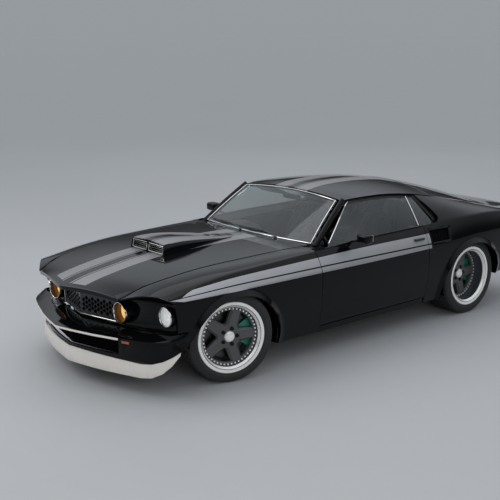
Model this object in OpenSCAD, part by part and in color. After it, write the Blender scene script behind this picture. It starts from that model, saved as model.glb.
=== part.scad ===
/* [Overall] */
// Front bumper to the middle of the front arch
front_overhang = 960; // [940:5:980]
// Middle of the front arch to the door's front edge
door_front_back = 860; // [850:5:870]
// Length of the door opening
door_len = 1275; // [1265:5:1285]
// Door's rear edge to the rear axle
door_to_axle = 608; // [600:1:620]
// Rear axle to the rear bumper
rear_overhang = 1057; // [1040:1:1075]
// Half the width of the body side at the front axle
side_half = 893; // [880:1:915]
// Height of the body crease above the ground
crease_h = 690; // [675:1:705]
// Height of the window line at the middle of the door
belt_h = 860; // [845:1:875]
// Height of the roof at its crown
roof_h = 1220; // [1205:1:1250]
// Height of the rocker's lower edge
rocker_h = 197; // [180:1:215]

/* [Panels] */
// Thickness of a single-skin panel
skin = 12; // [10:1:14]
// Thickness of the hood, the trunk lid and the roof
lid_thick = 30; // [26:1:34]
// Thickness of a whole door
door_thick = 90; // [84:1:100]
// Gap around the doors, the hood and the trunk lid
gap = 6; // [6:0.5:8]
// Seam between two fixed panels
seam = 2.5; // [2:0.5:4]
// Thickness of the window glass
glass = 5; // [4:0.5:6]

/* [Wheels] */
// Tyre radius, front
tyre_r_front = 339; // [335:1:341]
// Tyre radius, rear
tyre_r_rear = 343; // [338:1:345]
// Tyre width, front
tyre_w_front = 254; // [245:1:260]
// Tyre width, rear
tyre_w_rear = 292; // [280:1:296]
// Front tyre's outer side, in from the body side
tyre_in_front = 26; // [22:1:34]
// Rear tyre's outer side, in from the body side
tyre_in_rear = 9; // [7:1:17]
// Radius of the rim's outer lip
rim_r = 266; // [260:1:268]
// Radius of the arch cut, front
arch_r_front = 432; // [425:1:440]
// Radius of the arch cut, rear
arch_r_rear = 415; // [405:1:425]
// Height of the arch's top above the ground
arch_top = 655; // [650:1:665]
// How far the arch lip stands out from the side
flare = 29; // [26:1:32]
// Steering angle that the car is parked with, to the right
steer_parked = 14; // [0:1:20]
// Front axle's distance behind the middle of its arch
axle_back = 22; // [0:1:30]
// Kingpin's distance from the tyre's middle
kingpin_in = 60; // [56:1:70]
// Radius of a brake disc
disc_r = 178; // [165:1:185]

/* [Front] */
// Height of the grille's lower edge
grille_low = 474; // [465:1:485]
// Height of the grille
grille_high = 168; // [150:1:180]
// Pitch of the hexagons in the grille
hex_pitch = 34; // [30:1:44]
// Outer radius of a lamp's ring
lamp_r = 78; // [70:1:84]
// Height of the bumper blade's middle
bumper_h = 436; // [428:1:442]
// Lower edge of the chin spoiler above the ground
chin_low = 140; // [125:1:150]
// Height of the hood scoop's mouth
scoop_h = 80; // [70:1:90]

/* [Hidden] */
$fn = 64;
spokes = 5;

// Places along the car, forward is +X
wheelbase = door_front_back + door_len + door_to_axle;
body_length = front_overhang + wheelbase + rear_overhang;
x_front = body_length / 2;
x_tail = -body_length / 2;
xf = x_front - front_overhang;
xr = xf - wheelbase;
xw = xf - axle_back;
x_end = x_tail + 47;
door_x0 = xf - door_front_back;
door_x1 = door_x0 - door_len;
hood_back = xf - 800;
deck_front = x_end + 345;
roof_back = xr + 285;
glass_gap = 5;
glass_fit = 0.6;
// Shelves and posts of the inner structure that the panels land on
apron_h = 700;
apron_y = side_half - 218;
floor_h = 200;
floor_thick = 15;
trunk_floor_h = 370;
cowl_leg_y = side_half - 263;
cowl_leg_h = 800;
deck_leg_y = side_half - 348;
deck_leg_h = 800;
wheel_house_y = side_half - 333;
track_half_front = side_half - tyre_in_front - tyre_w_front / 2;
track_half_rear = side_half - tyre_in_rear - tyre_w_rear / 2;

// Interpolation along the car: Hermite through a table's rows, which run from front to rear
function slope_at(t, i, k) =
    let (a = max(i - 1, 0), b = min(i + 1, len(t) - 1)) (t[b][k] - t[a][k]) / (t[b][0] - t[a][0]);
function row_at(t, x, i = 0) = i >= len(t) - 2 || x >= t[i + 1][0] ? i : row_at(t, x, i + 1);
function track(t, x, k) =
    let (i = row_at(t, x), h = t[i + 1][0] - t[i][0], u = (x - t[i][0]) / h)
    (2 * u^3 - 3 * u^2 + 1) * t[i][k] + (u^3 - 2 * u^2 + u) * h * slope_at(t, i, k)
    + (3 * u^2 - 2 * u^3) * t[i + 1][k] + (u^3 - u^2) * h * slope_at(t, i + 1, k);
function mix(a, b, u) = a + (b - a) * u;
function mix3(a, b, u) = [for (k = [0:2]) mix(a[k], b[k], u)];

// Body side: x, half width at the crease, crease height, half width at the belt, belt height, hem height
side_table = [
    [x_front - 120, side_half - 80, crease_h - 8, side_half - 152, belt_h - 152, rocker_h + 215],
    [x_front - 400, side_half - 41, crease_h - 2, side_half - 108, belt_h - 125, rocker_h + 193],
    [xf + 330, side_half - 13, crease_h + 2, side_half - 91, belt_h - 92, rocker_h + 110],
    [xf, side_half, crease_h + 4, side_half - 85, belt_h - 57, rocker_h + 20],
    [xf - 420, side_half, crease_h + 2, side_half - 87, belt_h - 38, rocker_h + 5],
    [door_x0, side_half - 4, crease_h, side_half - 90, belt_h - 22, rocker_h],
    [xf - 1420, side_half - 4, crease_h, side_half - 88, belt_h, rocker_h],
    [door_x1, side_half, crease_h + 7, side_half - 81, belt_h + 12, rocker_h],
    [xr + 323, side_half + 5, crease_h + 13, side_half - 67, belt_h + 25, rocker_h + 5],
    [xr, side_half + 12, crease_h + 22, side_half - 51, belt_h + 33, rocker_h + 20],
    [xr - 380, side_half + 7, crease_h + 30, side_half - 61, belt_h + 24, rocker_h + 95],
    [x_end + 280, side_half - 13, crease_h + 28, side_half - 83, belt_h - 16, rocker_h + 125],
    [x_end, side_half - 48, crease_h + 24, side_half - 113, belt_h - 42, rocker_h + 140]];
// Hood: x, edge's distance in from the body side, edge height and centre height from the belt
hood_rows = [
    [x_front - 40, 358, -178, -150], [x_front - 188, 345, -163, -103], [x_front - 360, 305, -97, -70],
    [xf + 330, 281, -52, -28], [xf + 80, 267, -28, -5], [xf - 300, 253, -15, 8], [xf - 620, 247, -9, 11],
    [xf - 900, 243, -10, 6]];
hood_table = [for (r = hood_rows) [r[0], side_half - r[1], belt_h + r[2], belt_h + r[3]]];
// Roof, rear glass and deck: x, edge's distance in from the body side, then edge height and centre height
// as shares of the height from the belt to the roof's crown
cabin_h = roof_h - belt_h;
roof_rows = [
    [xf - 1360, 308, 0.794, 0.911], [xf - 1520, 281, 0.825, 0.978], [xf - 1820, 268, 0.817, 1],
    [door_x1, 265, 0.731, 0.961], [xr + 323, 269, 0.594, 0.861], [xr, 277, 0.414, 0.689],
    [xr - 380, 289, 0.194, 0.406], [deck_front - 12, 299, 0.006, 0.122], [x_end, 318, -0.083, -0.028]];
roof_table = [for (r = roof_rows) [r[0], side_half - r[1], belt_h + cabin_h * r[2], belt_h + cabin_h * r[3]]];

// The side bows out by this much and tucks under by this much at the hem
side_bow = 7;
side_tuck = 52;
top_crown = 7;

function hem_z(x) = track(side_table, x, 5);
function crease_y(x) = track(side_table, x, 1);
function crease_z(x) = track(side_table, x, 2);
function belt_y(x) = track(side_table, x, 3);
function belt_z(x) = track(side_table, x, 4);
function top_table(x) = x > xf - 1200 ? hood_table : roof_table;

// A point on the left body side: s is 0 at the hem, 1 at the crease, 2 at the belt,
// 3 at the hood edge or roof rail
function side_y(x, s) =
    s <= 1 ? crease_y(x) + side_bow * sin(180 * s) - side_tuck * (1 - s)^3
    : s <= 2 ? mix(crease_y(x), belt_y(x), s - 1) + side_bow * sin(180 * (s - 1))
    : mix(belt_y(x), track(top_table(x), x, 1), s - 2) + top_crown * sin(180 * (s - 2));
function side_z(x, s) =
    s <= 1 ? mix(hem_z(x), crease_z(x), s)
    : s <= 2 ? mix(crease_z(x), belt_z(x), s - 1)
    : mix(belt_z(x), track(top_table(x), x, 2), s - 2) + top_crown * sin(180 * (s - 2));
function side_point(x, s) = [x, side_y(x, s), side_z(x, s)];
// The share of a panel's thickness that goes inward and downward at each line of the section
function inward(s) = s <= 1.5 ? 1 : s <= 2.2 ? 0.85 : s >= 2.9 ? 0.25 : mix(0.85, 0.25, (s - 2.2) / 0.7);
function downward(s) = s <= 1.5 ? 0 : s <= 2 ? (s - 1.5) * 1.2 : min(1, 0.6 + (s - 2) * 0.8);
function side_inner(x, s, t) = side_point(x, s) - t * [0, inward(s), downward(s)];
// The section's parameter below the crease for a height
function side_s(x, z) = (z - hem_z(x)) / (crease_z(x) - hem_z(x));

// A point on the crowned hood, roof or deck: q is 1 at the left edge, 0 at the centre, -1 at the right edge
function crown_point(t, x, q) =
    [x, q * track(t, x, 1), mix(track(t, x, 3), track(t, x, 2), q^2)];

// A closed solid between two grids of points, outer and inner, with rows that run from front to rear
module shell(outer, inner) {
    rows = len(outer);
    cols = len(outer[0]);
    n = rows * cols;
    function o(i, j) = i * cols + j;
    function b(i, j) = n + i * cols + j;
    function quad(p, q, r, s) = [[p, q, r], [p, r, s]];
    polyhedron(
        points = concat([for (r = outer) each r], [for (r = inner) each r]),
        faces = concat(
            [for (i = [0:rows - 2], j = [0:cols - 2]) each
                quad(o(i, j), o(i + 1, j), o(i + 1, j + 1), o(i, j + 1))],
            [for (i = [0:rows - 2], j = [0:cols - 2]) each
                quad(b(i, j), b(i, j + 1), b(i + 1, j + 1), b(i + 1, j))],
            [for (j = [0:cols - 2]) each quad(o(0, j), o(0, j + 1), b(0, j + 1), b(0, j))],
            [for (j = [0:cols - 2]) each
                quad(o(rows - 1, j + 1), o(rows - 1, j), b(rows - 1, j), b(rows - 1, j + 1))],
            [for (i = [0:rows - 2]) each quad(o(i + 1, 0), o(i, 0), b(i, 0), b(i + 1, 0))],
            [for (i = [0:rows - 2]) each
                quad(o(i, cols - 1), o(i + 1, cols - 1), b(i + 1, cols - 1), b(i, cols - 1))]));
}
function steps(a, b, n) = [for (i = [0:n]) mix(a, b, i / n)];
module both_sides() {
    children();
    mirror([0, 1, 0]) children();
}
// Extrudes a shape drawn in Y and Z along X, from x0 forward by len
module along_x(x0, len) { translate([x0, 0, 0]) rotate([90, 0, 90]) linear_extrude(len) children(); }
// Extrudes a shape drawn in X and Z along Y, from y0 to the left by len
module along_y(y0, len) { translate([0, y0 + len, 0]) rotate([90, 0, 0]) linear_extrude(len) children(); }
module block(x0, x1, y0, y1, z0, z1) {
    translate([min(x0, x1), min(y0, y1), min(z0, z1)]) cube([abs(x1 - x0), abs(y1 - y0), abs(z1 - z0)]);
}

// Swing hinges: depth of the pin below the skin, distance from the panel's edge, and the pin itself
door_pin_in = 48;
door_pin_ahead = 80;
hood_pin_deep = 35;
hood_pin_back = 90;
deck_pin_deep = 30;
deck_pin_ahead = 115;
pin_r = 8;
pin_play = 0.1;
barrel_r = 14;
barrel_len = 44;
door_pin_x = door_x0 + door_pin_ahead;
door_pin_y = side_half - door_pin_in;
door_pin_z = [rocker_h + 190, crease_h - 75];
hood_pin_x = hood_back - hood_pin_back;
hood_pin_z = track(hood_table, hood_back, 2) - hood_pin_deep;
hood_arm_y = cowl_leg_y - 38;
deck_pin_x = deck_front + deck_pin_ahead;
deck_pin_z = track(roof_table, deck_front, 2) - deck_pin_deep;
deck_arm_y = deck_leg_y - 25;
arm_wide = 16;
// How deep each hinge's arm dips round the fixed panel's edge
door_arm_deep = 73;
hood_arm_deep = 72;
deck_arm_deep = 94;
// The hinge's moving half in its own plane: the panel's edge is reach away along +X and rise above the pin
module swan_arm(reach, deep, rise, wide) {
    difference() {
        union() {
            linear_extrude(wide, center = true) polygon([[-6, 6], [-8, -8], [16, -deep - 12],
                [reach * 0.98, -deep - 24], [reach + 85, rise - 2], [reach + 85, rise + 10],
                [reach + 40, rise + 10], [reach * 0.9, -deep], [30, -deep + 10], [9, 4]]);
            cylinder(r = barrel_r, h = wide, center = true);
        }
        cylinder(r = pin_r + pin_play, h = wide + 2, center = true);
    }
}

// Wheel arches
arch_zf = arch_top - arch_r_front;
arch_zr = arch_top - arch_r_rear;
flare_wide = 62;
tub_room = 26;
module arch_cut(x, z, r) {
    translate([x, side_half + 100, z]) rotate([90, 0, 0]) cylinder(r = r, h = 420, $fn = 96);
}
module front_tub() {
    outer = side_half + flare - 12;
    tub_in = rail_out + 20;
    translate([xw, 0, tyre_r_front]) rotate([-90, 0, 0]) {
        translate([0, 0, tub_in]) cylinder(r = tyre_r_front + tub_room, h = outer - 35 - tub_in + 0.01);
        translate([0, 0, outer - 35]) cylinder(r1 = tyre_r_front + tub_room, r2 = tyre_r_front - 14, h = 35);
    }
}
module rear_tub() {
    translate([xr, wheel_house_y, tyre_r_rear]) rotate([-90, 0, 0])
        cylinder(r = tyre_r_rear + tub_room, h = side_half + 3 - wheel_house_y);
}
// A lip that runs round an arch, standing out most at its edge
module arch_flare(x, z, r, low_front, low_back) {
    n = 26;
    ins = 14;
    a0 = -asin((z - low_front) / r);
    a1 = 180 + asin((z - low_back) / r);
    function section(px, pz) = pz <= crease_z(px) ? side_s(px, pz)
        : 1 + (pz - crease_z(px)) / (belt_z(px) - crease_z(px));
    function at(a, dr, out) = let (px = x + (r + dr) * cos(a), pz = z + (r + dr) * sin(a))
        [px, side_y(px, min(1.9, max(0, section(px, pz)))) + out, pz];
    fade = [for (i = [0:n]) sin(180 * mix(0.12, 0.88, i / n))^0.6];
    // Share of the lip's width, share of how far it stands out, extra depth of its inner side
    lines = [[0, 1, 0], [0.28, 0.94, 0], [0.62, 0.46, 0], [1, 0.02, 3]];
    shell([for (k = lines) [for (i = [0:n])
               at(mix(a0, a1, i / n), flare_wide * k[0] - 0.4, flare * k[1] * fade[i])]],
          [for (k = lines) [for (i = [0:n]) at(mix(a0, a1, i / n), flare_wide * k[0] - 0.4, -k[2] - ins)]]);
}

// A panel of the body side from the line nose(s) back to x1
module side_panel(rows, nose, x1, cols, thick) {
    shell([for (s = rows) [for (x = steps(nose(s), x1, cols)) side_point(x, s)]],
          [for (s = rows) [for (x = steps(nose(s), x1, cols)) side_inner(x, s, thick)]]);
}

// Fixed outer panels
lower_rows = [0, 0.1, 0.22, 0.36, 0.52, 0.68, 0.84, 1, 1.12, 1.4, 1.7];
fender_rows = concat(lower_rows, [1.9, 2, 2.2, 2.5, 2.8, 2.97]);
function fender_nose(s) =
    x_front - (s <= 1 ? mix(482, 430, s) : s <= 2 ? mix(430, 350, s - 1) : mix(350, 188, s - 2));
module fender() {
    difference() {
        union() {
            side_panel(fender_rows, function (s) fender_nose(s), door_x0 + gap / 2, 30, skin);
            arch_flare(xf, arch_zf, arch_r_front, rocker_h + 175, rocker_h + 20);
            block(xf + 150, xf + 330, apron_y - 20, apron_y - 5, apron_h, belt_h - 58);
        }
        arch_cut(xf, arch_zf, arch_r_front);
        front_tub();
    }
}
module fender_left() { color("dimgray") fender(); }
module fender_right() { color("dimgray") mirror([0, 1, 0]) fender(); }

// Quarter window's rear edge and the divider, by height share t between belt and rail
function divider_x(t) = mix(door_x1 + 5, door_x1 + 26, t);
function quarter_glass_x(t) =
    mix(door_x1 - 222, door_x1 - 58, max(0, t - 0.08)^1.5) + 46 * max(0, 0.16 - t) / 0.16;
quarter_thick = 38;
quarter_rows = concat(lower_rows, [1.92, 2, 2.03, 2.12, 2.25, 2.4, 2.6, 2.8, 2.97]);
function quarter_nose(s) = s <= 2 ? door_x1 - gap / 2 : quarter_glass_x(s - 2) - glass_gap;
scoop_x0 = door_x1 - 38;
scoop_x1 = xr + 362;
module quarter() {
    difference() {
        union() {
            side_panel(quarter_rows, function (s) quarter_nose(s), x_end + tail_thick, 34, quarter_thick);
            arch_flare(xr, arch_zr, arch_r_rear, rocker_h + 20, rocker_h + 110);
            block(x_end + 370, x_end + 530, deck_leg_y + 26, side_half - 40,
                  trunk_floor_h + floor_thick, trunk_floor_h + floor_thick + 30);
        }
        arch_cut(xr, arch_zr, arch_r_rear);
        rear_tub();
        quarter_scoop_cut();
    }
}
module quarter_scoop_cut() {
    translate([0, side_half - 26, 0]) rotate([90, 0, 0]) mirror([0, 0, 1]) linear_extrude(80)
        polygon([[scoop_x0 - 16, crease_h + 22], [scoop_x1 + 14, crease_h + 24], [scoop_x1 + 4, belt_h - 42],
                 [scoop_x0, belt_h - 44]]);
}
module quarter_left() { color("dimgray") quarter(); }
module quarter_right() { color("dimgray") mirror([0, 1, 0]) quarter(); }

// Screen: lower and upper edges by share q across
screen_low_x = xf - 895;
screen_low_half = side_half - 221;
screen_top_half = side_half - 327;
function screen_low(q) = [screen_low_x - 68 * q^2, q * screen_low_half, belt_h - 4 - 4 * q^2];
screen_top_h = belt_h + cabin_h * 0.894;
function screen_top(q) = [xf - 1352 + 6 * q^2, q * screen_top_half, screen_top_h - 36 * q^2];
function screen_point(q, u) = mix3(screen_low(q), screen_top(q), u) + 10 * sin(180 * u) * [0.55, 0, 0.6];
// The glass stops this share short of its edges, inside the pillars
screen_share = 0.9903;
module windscreen() {
    qs = steps(screen_share, -screen_share, 14);
    us = steps(0.01, 0.985, 6);
    color("slategray") shell(
        [for (q = qs) [for (u = us) screen_point(q, u)]],
        [for (q = qs) [for (u = us) screen_point(q, u) - glass * [0.6, 0, 0.8]]]);
}
// The roof's edge keeps this share of its thickness
rail_share = 0.45;
pillar_foot = [xf - 965, side_half - 201, belt_h - 26];
pillar_head = [xf - 1372, side_half - 301, track(roof_table, xf - 1372, 2) - 12];
module roof() {
    qs = steps(1, -1, 16);
    function front(q) = xf - 1360 - 6 * q^2;
    color("dimgray") {
        shell([for (q = qs) [for (x = steps(front(q), roof_back, 14)) crown_point(roof_table, x, q)]],
              [for (q = qs) [for (x = steps(front(q), roof_back, 14))
                  crown_point(roof_table, x, q * 0.985) - [0, 0, lid_thick * mix(1, rail_share, q^8)]]]);
        both_sides() hull() {
            translate(pillar_foot) translate([-34, -20, 0]) cube([68, 40, 2]);
            translate(pillar_head) translate([-24, -22, 0]) cube([52, 42, 24]);
        }
    }
}
module cowl() {
    qs = steps(1, -1, 12);
    function cols(q) = steps(hood_back - gap / 2, screen_low(q * 0.95)[0] + 9, 3);
    color("dimgray") {
        shell([for (q = qs) [for (x = cols(q)) crown_point(hood_table, x, q * 0.99)]],
              [for (q = qs) [for (x = cols(q)) crown_point(hood_table, x, q * 0.99) - [0, 0, skin]]]);
        both_sides() block(hood_pin_x + 20, hood_pin_x + 45, cowl_leg_y, cowl_leg_y + 20,
                           cowl_leg_h, belt_h - 14);
    }
}
// The rear glass lies this far under the roof's surface
glass_deep = 3;
strip_x = deck_front + 68;
module rear_glass() {
    qs = steps(0.955, -0.955, 14);
    xs = steps(roof_back - glass_fit, strip_x + glass_fit, 12);
    color("slategray") shell(
        [for (q = qs) [for (x = xs) crown_point(roof_table, x, q) - [0, 0, glass_deep]]],
        [for (q = qs) [for (x = xs) crown_point(roof_table, x, q) - [0, 0, glass_deep + glass]]]);
}
module deck_strip() {
    qs = steps(0.985, -0.985, 12);
    xs = steps(strip_x, deck_front + gap / 2, 2);
    leg_x = deck_front + 35;
    leg_top = crown_point(roof_table, leg_x, (deck_leg_y + 10) / track(roof_table, leg_x, 1))[2] - skin / 2;
    color("dimgray") {
        both_sides() block(leg_x - 10, leg_x + 10, deck_leg_y, deck_leg_y + 20, deck_leg_h, leg_top);
        shell([for (q = qs) [for (x = xs) crown_point(roof_table, x, q)]],
              [for (q = qs) [for (x = xs) crown_point(roof_table, x, q) - [0, 0, skin]]]);
    }
}
tail_thick = 25;
module tail_panel() {
    rows = [0.06, 0.2, 0.36, 0.52, 0.68, 0.84, 1, 1.3, 1.7, 2];
    rail_y = track(roof_table, x_end, 1);
    rail_z = track(roof_table, x_end, 2);
    half = concat([for (s = rows) [side_y(x_end, s) - 1, side_z(x_end, s)]],
        [[rail_y + 6, rail_z - 8], [rail_y + 4, rail_z - lid_thick - gap - 2]]);
    color("dimgray") along_x(x_end, tail_thick - 0.4)
        polygon(concat(half, [for (i = [len(half) - 1:-1:0]) [-half[i][0], half[i][1]]]));
}

// Nose: plan lines of the left half, from the centre line outward
function normal_at(p, i) =
    let (a = p[max(i - 1, 0)], b = p[min(i + 1, len(p) - 1)], d = b - a) [d[1], -d[0]] / norm(d);
function set_in(p, t) = [for (i = [0:len(p) - 1]) p[i] - t * normal_at(p, i)];
function strip(p, t) = let (q = set_in(p, t)) concat(p, [for (i = [len(q) - 1:-1:0]) q[i]]);
function whole(p) = concat([for (i = [len(p) - 1:-1:1]) [p[i][0], -p[i][1]]], p);
panel_line = [[x_front - 295, side_half - 521], [x_front - 310, side_half - 423],
              [x_front - 415, side_half - 133], [x_front - 460, side_half - 57]];
bumper_tall = 50;
// Bumper wedge: distance behind the nose, share of the half width, depth from front to back
bumper_rows = [[0, 0, 205], [34, 0.168, 200], [92, 0.392, 190], [168, 0.616, 172], [240, 0.806, 130],
               [305, 0.909, 84]];
// Its ends run along the fender, this far outside it: distance behind the nose, depth
bumper_ends = [[392, 22], [470, 12], [545, 6]];
fender_clear = 3;
bumper_line = concat([for (r = bumper_rows) [x_front - r[0], side_half * r[1]]],
    [for (r = bumper_ends) let (x = x_front - r[0])
        [x, side_y(x, side_s(x, bumper_h + bumper_tall)) + fender_clear + r[1]]]);
bumper_deep = concat([for (r = bumper_rows) r[2]], [for (r = bumper_ends) r[1]]);
// Chin spoiler: distance behind the nose, share of the half width, height of the upper edge,
// rise of the lower edge
chin_rows = [[97, 0, 256, 0], [118, 0.134, 255, 0], [145, 0.28, 252, 0], [180, 0.426, 249, 0],
             [226, 0.582, 245, 0], [276, 0.739, 240, 0], [318, 0.823, 246, 8], [372, 0.885, 266, 40],
             [428, 0.924, 292, 92], [485, 0.952, 325, 165]];
chin_line = [for (r = chin_rows) [x_front - r[0], side_half * r[1]]];
chin_thick = 9;
valance_line = set_in([for (i = [0:len(chin_line) - 2]) chin_line[i]], chin_thick + 5);
signal_at = [x_front - 231, side_half * 0.56];
signal_turn = 18;
panel_thick = 18;
valance_thick = 14;
valance_low = 245;
valance_high = bumper_h - bumper_tall / 2 - 2;
panel_low = bumper_h + bumper_tall / 2 + 2;
panel_high = belt_h - 188;
lamp_fit = 0.5;
inner_lamp = [x_front - 267, side_half - 450, 566];
outer_lamp = [x_front - 416, side_half - 121, 577];
outer_lamp_r = 73;
nose_x = x_front - 480;
module along_lamp(p, back, front, r) {
    translate([p[0] - back, p[1], p[2]]) rotate([0, 90, 0]) cylinder(r = r, h = back + front);
}
module front_panel() {
    color("black") both_sides() difference() {
        union() {
            translate([0, 0, panel_low]) linear_extrude(panel_high - panel_low)
                polygon(strip(panel_line, panel_thick));
            block(nose_x, x_front - 324, side_half - 423, side_half - 393, panel_low, panel_low + 20);
        }
        along_lamp(inner_lamp, 120, 60, lamp_r + lamp_fit);
        along_lamp(outer_lamp, 80, 60, outer_lamp_r + lamp_fit);
    }
}
grille_x = x_front - 224;
grille_half = side_half - 525;
// Each half of the grille is turned back by this much
grille_turn = 13;
grille_thick = 8;
grille_rim = 12;
// Hexagons that fit inside the outline, as rings of points
function hex_ring(c, r) = [for (a = [0:60:300]) [c[0] + r * cos(a), c[1] + r * sin(a)]];
hex_r = hex_pitch / 2 / cos(30) - 3.2;
hex_cols = floor((grille_half - 2 * grille_rim - 2 * hex_r) / (hex_pitch * cos(30)));
hex_rows = floor((grille_high - 2 * grille_rim - hex_pitch * 1.5) / hex_pitch);
hex_z0 = (grille_high - (hex_rows + 0.5) * hex_pitch) / 2;
hex_rings = [for (i = [0:hex_cols], j = [0:hex_rows])
    hex_ring([grille_rim + hex_r + i * hex_pitch * cos(30), hex_z0 + (j + (i % 2) / 2) * hex_pitch], hex_r)];
module grille() {
    outline = [[0.2, 0], [grille_half, 0], [grille_half, grille_high], [0.2, grille_high]];
    n = len(hex_rings);
    color("black") both_sides() {
        translate([grille_x, 0, grille_low]) rotate([0, 0, grille_turn]) rotate([90, 0, 90])
            linear_extrude(grille_thick) polygon(concat(outline, [for (r = hex_rings) each r]),
                    concat([[0, 1, 2, 3]], [for (k = [0:n - 1]) [for (i = [0:5]) 4 + k * 6 + i]]));
        block(nose_x, grille_x - (grille_half - 43) * tan(grille_turn) + 2,
              grille_half - 58, grille_half - 28, grille_low + 2, grille_low + 10);
    }
}
module headlamps() {
    color("silver") both_sides() difference() {
        along_lamp(outer_lamp, 60, 8, outer_lamp_r);
        translate([2, 0, 0]) along_lamp(outer_lamp, 0, 10, outer_lamp_r - 8);
    }
}
signal_low = valance_high - 45;
signal_wide = 66;
signal_tall = 34;
module at_signal() {
    translate([signal_at[0], signal_at[1], signal_low]) rotate([0, 0, signal_turn]) children();
}
module amber_lamps() {
    color("orange") both_sides() {
        difference() {
            along_lamp(inner_lamp, 60, 14, lamp_r);
            translate([6, 0, 0]) along_lamp(inner_lamp, 0, 12, lamp_r - 9);
        }
        at_signal() block(-14, 6, lamp_fit, signal_wide - lamp_fit, lamp_fit, signal_tall - lamp_fit);
    }
}
bracket_x = x_front - 330;
// Wedge: the front edge is low, the top rises to the grille
module front_bumper() {
    line = whole(bumper_line);
    n = len(line) - 1;
    m = len(bumper_line) - 1;
    back = [for (i = [0:n]) line[i] - bumper_deep[abs(i - m)] * normal_at(line, i)];
    low = bumper_h - bumper_tall / 2;
    function level(pts, z) = [for (p = pts) [p[0], p[1], z]];
    color("black") {
        shell([level(line, low), level(line, low + 15)],
              [level(back, low + 9), level(back, low + bumper_tall)]);
        both_sides() {
            block(bracket_x, x_front - 190, rail_in + 10, rail_in + 50, bumper_h - 18, bumper_h + 2);
            block(bracket_x, bracket_x + 14, rail_in + 10, rail_in + 50, rail_low + 20, bumper_h + 2);
        }
    }
}
module front_valance() {
    inlet_half = side_half - 423;
    color("black") {
        difference() {
            translate([0, 0, valance_low]) linear_extrude(valance_high - valance_low)
                polygon(strip(whole(valance_line), valance_thick));
            block(x_front - 460, x_front, -inlet_half, inlet_half, valance_low + 30, valance_high - 8);
            both_sides() at_signal() block(-40, 40, 0, signal_wide, 0, signal_tall);
        }
        both_sides() block(x_front - 204, x_front - 192, rail_in + 15, rail_in + 45,
                           valance_high - 8, bumper_h - 21.1);
    }
}
module chin_spoiler() {
    line = whole(chin_line);
    n = len(line) - 1;
    m = len(chin_line) - 1;
    back = set_in(line, chin_thick);
    lean = 4;
    function low(p) = [for (i = [0:n]) [p[i][0] + lean, p[i][1], chin_low + chin_rows[abs(i - m)][3]]];
    function high(p) = [for (i = [0:n]) [p[i][0], p[i][1], chin_rows[abs(i - m)][2]]];
    color("silver") {
        shell([low(line), high(line)], [low(back), high(back)]);
        both_sides() block(x_front - 190, x_front - 146, side_half * 0.23, side_half * 0.274,
                           valance_low - 18, valance_low);
    }
}
rear_thick = 22;
rear_line = [[x_tail, 0], [x_tail + 2, side_half - 493], [x_tail + 8, side_half - 133],
             [x_tail + 18, side_half - 43], [x_tail + 60, side_half + 3], [x_tail + 180, side_half + 23],
             [x_tail + 320, side_half + 31]];
rear_bumper_low = 445;
rear_bumper_tall = 70;
module rear_bumper() {
    p = [for (c = rear_line) [-c[0], c[1]]];
    color("black") {
        mirror([1, 0, 0]) translate([0, 0, rear_bumper_low]) linear_extrude(rear_bumper_tall)
            polygon(strip(whole(p), rear_thick));
        both_sides() block(x_tail + 15, x_end, 300, 380, rear_bumper_low + 10, rear_bumper_low + 60);
    }
}
lamp_wide = 76;
lamp_pitch = 104;
module tail_lamps() {
    color("darkred") both_sides() for (i = [0:2]) let (y = side_half - 453 + i * lamp_pitch)
        block(x_end - 12, x_end, y, y + lamp_wide, crease_h - 70, crease_h + 88);
}

// Side glass: t is 0 at its lower edge and 1 at the roof rail
glass_in = 38;
// Under the pillar the glass keeps the rail of this place
glass_head_x = xf - 1364;
function rail_x(x) = min(x, glass_head_x);
function glass_y(x, t) =
    mix(belt_y(x) - glass_in, track(roof_table, rail_x(x), 1) - 8, t) + 6 * sin(180 * t);
function glass_z(x, t) =
    mix(belt_z(x) - glass_in * 0.7, track(roof_table, rail_x(x), 2) - lid_thick * rail_share - gap - 2, t);
function glass_point(x, t) = [x, glass_y(x, t), glass_z(x, t)];
glass_rows = [0, 0.1, 0.2, 0.35, 0.5, 0.65, 0.8, 0.92, 1];
function door_glass_front(t) = mix(xf - 1016, xf - 1432, t);
module side_glass(front, back, cols) {
    rows = [for (t = glass_rows) [for (x = steps(front(t), back(t), cols)) glass_point(x, t)]];
    shell(rows, [for (r = rows) [for (p = r) p - [0, glass, 0]]]);
}
module door_glass() { side_glass(function (t) door_glass_front(t), function (t) divider_x(t) + 6, 10); }
module door_glass_left() { color("slategray") door_glass(); }
module door_glass_right() { color("slategray") mirror([0, 1, 0]) door_glass(); }
post_h = belt_h - 24;
post_out = belt_y(door_x1) - glass_in - 2;
// The quarter glass stops ahead of its opening's sloping rear edge, more so at the top
quarter_glass_back = 26;
module quarter_glass() {
    foot_x = divider_x(0) - 30;
    color("slategray") both_sides() {
        side_glass(function (t) divider_x(t) - 8, function (t) quarter_glass_x(t) + quarter_glass_back * t, 8);
        block(foot_x, foot_x + 20, post_out - 20, post_out, post_h, belt_h + 12);
    }
}

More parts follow.
